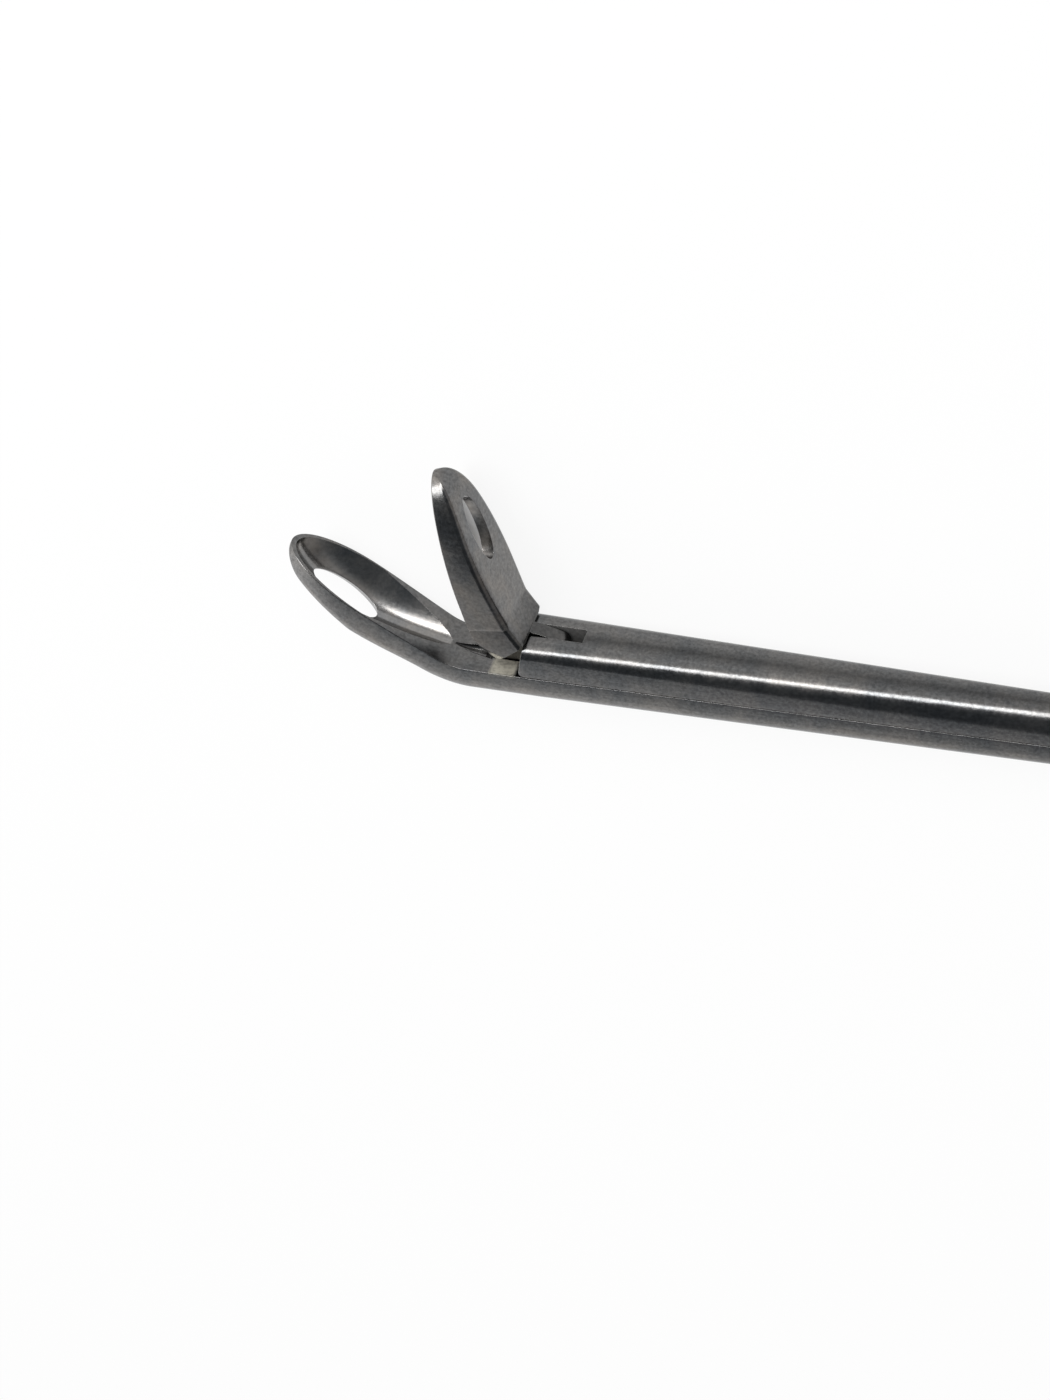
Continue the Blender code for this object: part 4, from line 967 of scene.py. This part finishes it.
def steel(name, level, rough, turn=0.0, grain=1.0, brown=0.04, metal=1.0, painted_shade=(), tan=None):
    """Used steel: streaks along the piece, stains, grain, edges brightened partly as wear and
    partly as painted glints, darker places of painted shade and painted dark reflections, and tan
    places of painted sheen.
    """
    material = bpy.data.materials.new(name)
    material.use_nodes = True
    tree = material.node_tree
    shader = tree.nodes["Principled BSDF"]
    place = tree.nodes.new("ShaderNodeTexCoord").outputs["Object"]

    lay = node(tree, "ShaderNodeMapping", Rotation=(0.0, 0.0, -turn), Scale=STREAK_LAY)
    tree.links.new(place, lay.inputs["Vector"])
    streaks = share_of(tree, noise(tree, lay.outputs["Vector"], *STREAK_NOISE), *STREAK_RANGE)
    stains = share_of(tree, noise(tree, place, *STAIN_NOISE), *STAIN_RANGE)
    grains = share_of(tree, noise(tree, place, *GRAIN_NOISE), *GRAIN_RANGE)

    bevel = tree.nodes.new("ShaderNodeBevel")
    bevel.samples = EDGE_SAMPLES
    bevel.inputs["Radius"].default_value = EDGE_SOFT
    along = tree.nodes.new("ShaderNodeVectorMath")
    along.operation = "DOT_PRODUCT"
    tree.links.new(bevel.outputs["Normal"], along.inputs[0])
    tree.links.new(tree.nodes.new("ShaderNodeNewGeometry").outputs["Normal"], along.inputs[1])
    edge = share_of(tree, along.outputs["Value"], *EDGE_RANGE)

    streaked = ramp(tree, streaks, -STREAK_SWING, STREAK_SWING)
    stained = ramp(tree, stains, -STAIN_SWING, STAIN_SWING)
    swing = GRAIN_SWING * grain
    grained = ramp(tree, grains, 1.0 - swing, 1.0 + swing)
    value = maths(tree, "ADD", maths(tree, "ADD", streaked, stained), grained)
    # Darker places: painted shade and painted dark reflections, multiplied into the grey
    for *patch, left in painted_shade:
        value = maths(tree, "MULTIPLY", value, ramp(tree, within(tree, place, *patch), 1.0, left))
    hue = blend(tree, stains, tone(level, CLEAN_WARMTH), tone(level, brown))
    body = tree.nodes.new("ShaderNodeVectorMath")
    body.operation = "SCALE"
    tree.links.new(hue, body.inputs[0])
    tree.links.new(value, body.inputs["Scale"])
    # Edges brightened: partly wear, partly painted glints
    colour = blend(tree, edge, body.outputs[0], tone(level * EDGE_SHINE, EDGE_WARMTH))
    low, high = [rough * share for share in STAIN_MATT]
    matt = maths(tree, "ADD", ramp(tree, stains, low, high), ramp(tree, grains, 0.0, GRAIN_MATT))
    # Tan places: painted pale sheen, on the land partly a worn spot; duller and less metallic there
    if tan:
        share = within(tree, place, *tan)
        share = maths(tree, "MULTIPLY", share, span(tree, grains, *TAN_GRAIN))
        colour = blend(tree, share, colour, TAN_WEAR_AND_SHEEN)
        matt = maths(tree, "ADD", matt, maths(tree, "MULTIPLY", share, TAN_MATT))
        tree.links.new(ramp(tree, share, metal, TAN_METAL), shader.inputs["Metallic"])
    else:
        shader.inputs["Metallic"].default_value = metal
    tree.links.new(colour, shader.inputs["Base Color"])
    tree.links.new(matt, shader.inputs["Roughness"])

    streak_relief = maths(tree, "MULTIPLY", streaks, STREAK_RELIEF)
    grain_relief = maths(tree, "MULTIPLY", grains, GRAIN_RELIEF)
    bump = node(
        tree, "ShaderNodeBump", Strength=RELIEF_STRENGTH * grain, Distance=RELIEF_HEIGHT
    )
    tree.links.new(maths(tree, "ADD", streak_relief, grain_relief), bump.inputs["Height"])
    tree.links.new(bevel.outputs["Normal"], bump.inputs["Normal"])
    tree.links.new(bump.outputs["Normal"], shader.inputs["Normal"])
    return material


def ray_share(tree):
    """One for rays that the camera, gloss or glass sends, and zero for light."""
    path = tree.nodes.new("ShaderNodeLightPath").outputs
    seen = maths(tree, "ADD", path["Is Camera Ray"], path["Is Glossy Ray"], clamp=True)
    return maths(tree, "ADD", seen, path["Is Transmission Ray"], clamp=True)


def make_floor():
    """Wide white floor, mostly of its own white, which still takes a soft shadow."""
    bm = bmesh.new()
    bmesh.ops.create_grid(bm, x_segments=1, y_segments=1, size=FLOOR_HALF)
    mesh = bpy.data.meshes.new("floor")
    bm.to_mesh(mesh)
    bm.free()
    floor = bpy.data.objects.new("floor", mesh)
    bpy.context.scene.collection.objects.link(floor)
    material = bpy.data.materials.new("floor_white")
    material.use_nodes = True
    tree = material.node_tree
    tree.nodes.clear()
    paper = node(tree, "ShaderNodeBsdfDiffuse", Color=tone(FLOOR_WHITE))
    glow = node(tree, "ShaderNodeEmission", Color=tone(1.0), Strength=1.0)
    share = ray_share(tree)
    mixer = tree.nodes.new("ShaderNodeMixShader")
    tree.links.new(maths(tree, "MULTIPLY", share, FLOOR_GLOW), mixer.inputs[0])
    tree.links.new(paper.outputs[0], mixer.inputs[1])
    tree.links.new(glow.outputs[0], mixer.inputs[2])
    output = tree.nodes.new("ShaderNodeOutputMaterial")
    tree.links.new(mixer.outputs[0], output.inputs["Surface"])
    mesh.materials.append(material)


def make_world():
    """Studio room: dim and bluish overhead, pale low down, and palest toward the jaws' side."""
    world = bpy.data.worlds.new("studio")
    bpy.context.scene.world = world
    world.use_nodes = True
    tree = world.node_tree
    tree.nodes.clear()
    direction = tree.nodes.new("ShaderNodeTexCoord").outputs["Generated"]
    parts = tree.nodes.new("ShaderNodeSeparateXYZ")
    tree.links.new(direction, parts.inputs[0])
    low = span(tree, parts.outputs["Z"], *ROOM_RISE, 1.0, 0.0)
    side = span(tree, parts.outputs["X"], *ROOM_ASIDE, *ROOM_SIDES)
    back = tree.nodes.new("ShaderNodeBackground")
    overhead, around = [tone(1.0, warmth) for warmth in ROOM_TINTS]
    tree.links.new(blend(tree, low, overhead, around), back.inputs["Color"])
    level = maths(tree, "ADD", maths(tree, "MULTIPLY", low, side), ROOM_DIM)
    tree.links.new(level, back.inputs["Strength"])
    output = tree.nodes.new("ShaderNodeOutputWorld")
    tree.links.new(back.outputs[0], output.inputs["Surface"])


def make_softbox():
    """One long, narrow lamp above the slide bar's side, aimed at the jaw pivot."""
    data = bpy.data.lights.new("softbox", "AREA")
    data.shape = "RECTANGLE"
    data.size = 2 * LAMP_DISTANCE * math.tan(LAMP_HALF_WIDE)
    data.size_y = 2 * LAMP_DISTANCE * math.tan(LAMP_HALF_HIGH)
    data.energy = LAMP_RADIANCE * math.pi * data.size * data.size_y
    lamp = bpy.data.objects.new("softbox", data)
    toward = LAMP_FROM.normalized()
    lamp.location = to_world((0.0, 0.0, 0.0)) + toward * LAMP_DISTANCE
    wide = (LAMP_ALONG - toward * LAMP_ALONG.dot(toward)).normalized()
    high = toward.cross(wide)
    lamp.rotation_euler = Matrix((wide, high, toward)).transposed().to_euler()
    bpy.context.scene.collection.objects.link(lamp)


def make_camera():
    """Camera at the photograph's viewing angle, turned so that the jaw pivot falls on its pixel."""
    data = bpy.data.cameras.new("camera")
    data.sensor_fit = "VERTICAL"
    data.sensor_height = SENSOR
    data.lens = FOCAL_PIXELS * SENSOR / PHOTO_HEIGHT
    data.clip_start = CAMERA_NEAR
    view = VIEW_FROM.normalized()
    level = (Vector((1.0, 0.0, 0.0)) - view * view.x).normalized()
    rise = view.cross(level)
    right = level * math.cos(VIEW_ROLL) + rise * math.sin(VIEW_ROLL)
    up = rise * math.cos(VIEW_ROLL) - level * math.sin(VIEW_ROLL)
    aside = (PHOTO_WIDTH / 2 - PIVOT_PIXEL[0]) / FOCAL_PIXELS
    below = (PHOTO_HEIGHT / 2 - PIVOT_PIXEL[1]) / FOCAL_PIXELS
    back = (view - right * aside + up * below).normalized()
    right = (right - back * right.dot(back)).normalized()
    up = back.cross(right)
    camera = bpy.data.objects.new("camera", data)
    camera.location = to_world((0.0, 0.0, 0.0)) + view * VIEW_DISTANCE
    camera.rotation_euler = Matrix((right, up, back)).transposed().to_euler()
    bpy.context.scene.collection.objects.link(camera)
    bpy.context.scene.camera = camera


make_camera()
make_world()
make_softbox()
make_floor()

# The steels' darker places are painted shade and painted dark reflections, and their tan places a
# painted pale sheen
bar_steel = steel("bar_steel", level=0.142, rough=0.2, painted_shade=[LAND_SHADE], tan=LAND_WEAR_AND_SHEEN)
slide_steel = steel("slide_steel", level=0.142, rough=0.2, painted_shade=[SLIDE_TOP_SHADE])
jaw_steel = steel(
    "jaw_steel", level=0.155, rough=0.2, turn=-JAW_OPENING - BEND_ANGLE, brown=0.07,
    painted_shade=[JAW_ROOT_SHADE, JAW_FLANK_SHADE], tan=JAW_TAN_SHEEN,
)
tongue_steel = steel("tongue_steel", level=0.085, rough=0.2)
cup_steel = steel("cup_steel", level=0.24, rough=0.2, grain=0.5, brown=0.06, painted_shade=[CUP_TIP_SHADE])
upper_cup_steel = steel("upper_cup_steel", level=0.21, rough=0.34, grain=0.35)
# The slot's walls: a duller, partly non-metallic copy of the slide bar's steel, so that the shaded
# slot shows grey: painted light in the slot
slot_lit_steel = steel("slot_lit_steel", level=0.09, rough=0.5, metal=0.3)
handle_steel = steel("handle_steel", level=0.27, rough=0.52)
pin_steel = steel("pin_steel", level=0.2, rough=0.38)

finish_piece(make_fixed_bar(bar_steel, cup_steel), "fixed_bar", "fixed_side")
finish_piece(make_slide_bar(slide_steel, slot_lit_steel), "slide_bar", "slide")
upper_jaw = make_upper_jaw(jaw_steel, upper_cup_steel, tongue_steel)
finish_piece(upper_jaw, "upper_jaw", "jaw")
finish_piece(make_rear_handle(handle_steel), "rear_handle", "fixed_side")
finish_piece(make_front_handle(handle_steel), "front_handle", "front_handle_body")
for name in PIN_NODES:
    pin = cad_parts[name].data
    pin.materials.clear()
    pin.materials.append(pin_steel)

bpy.context.scene.view_settings.view_transform = "Standard"
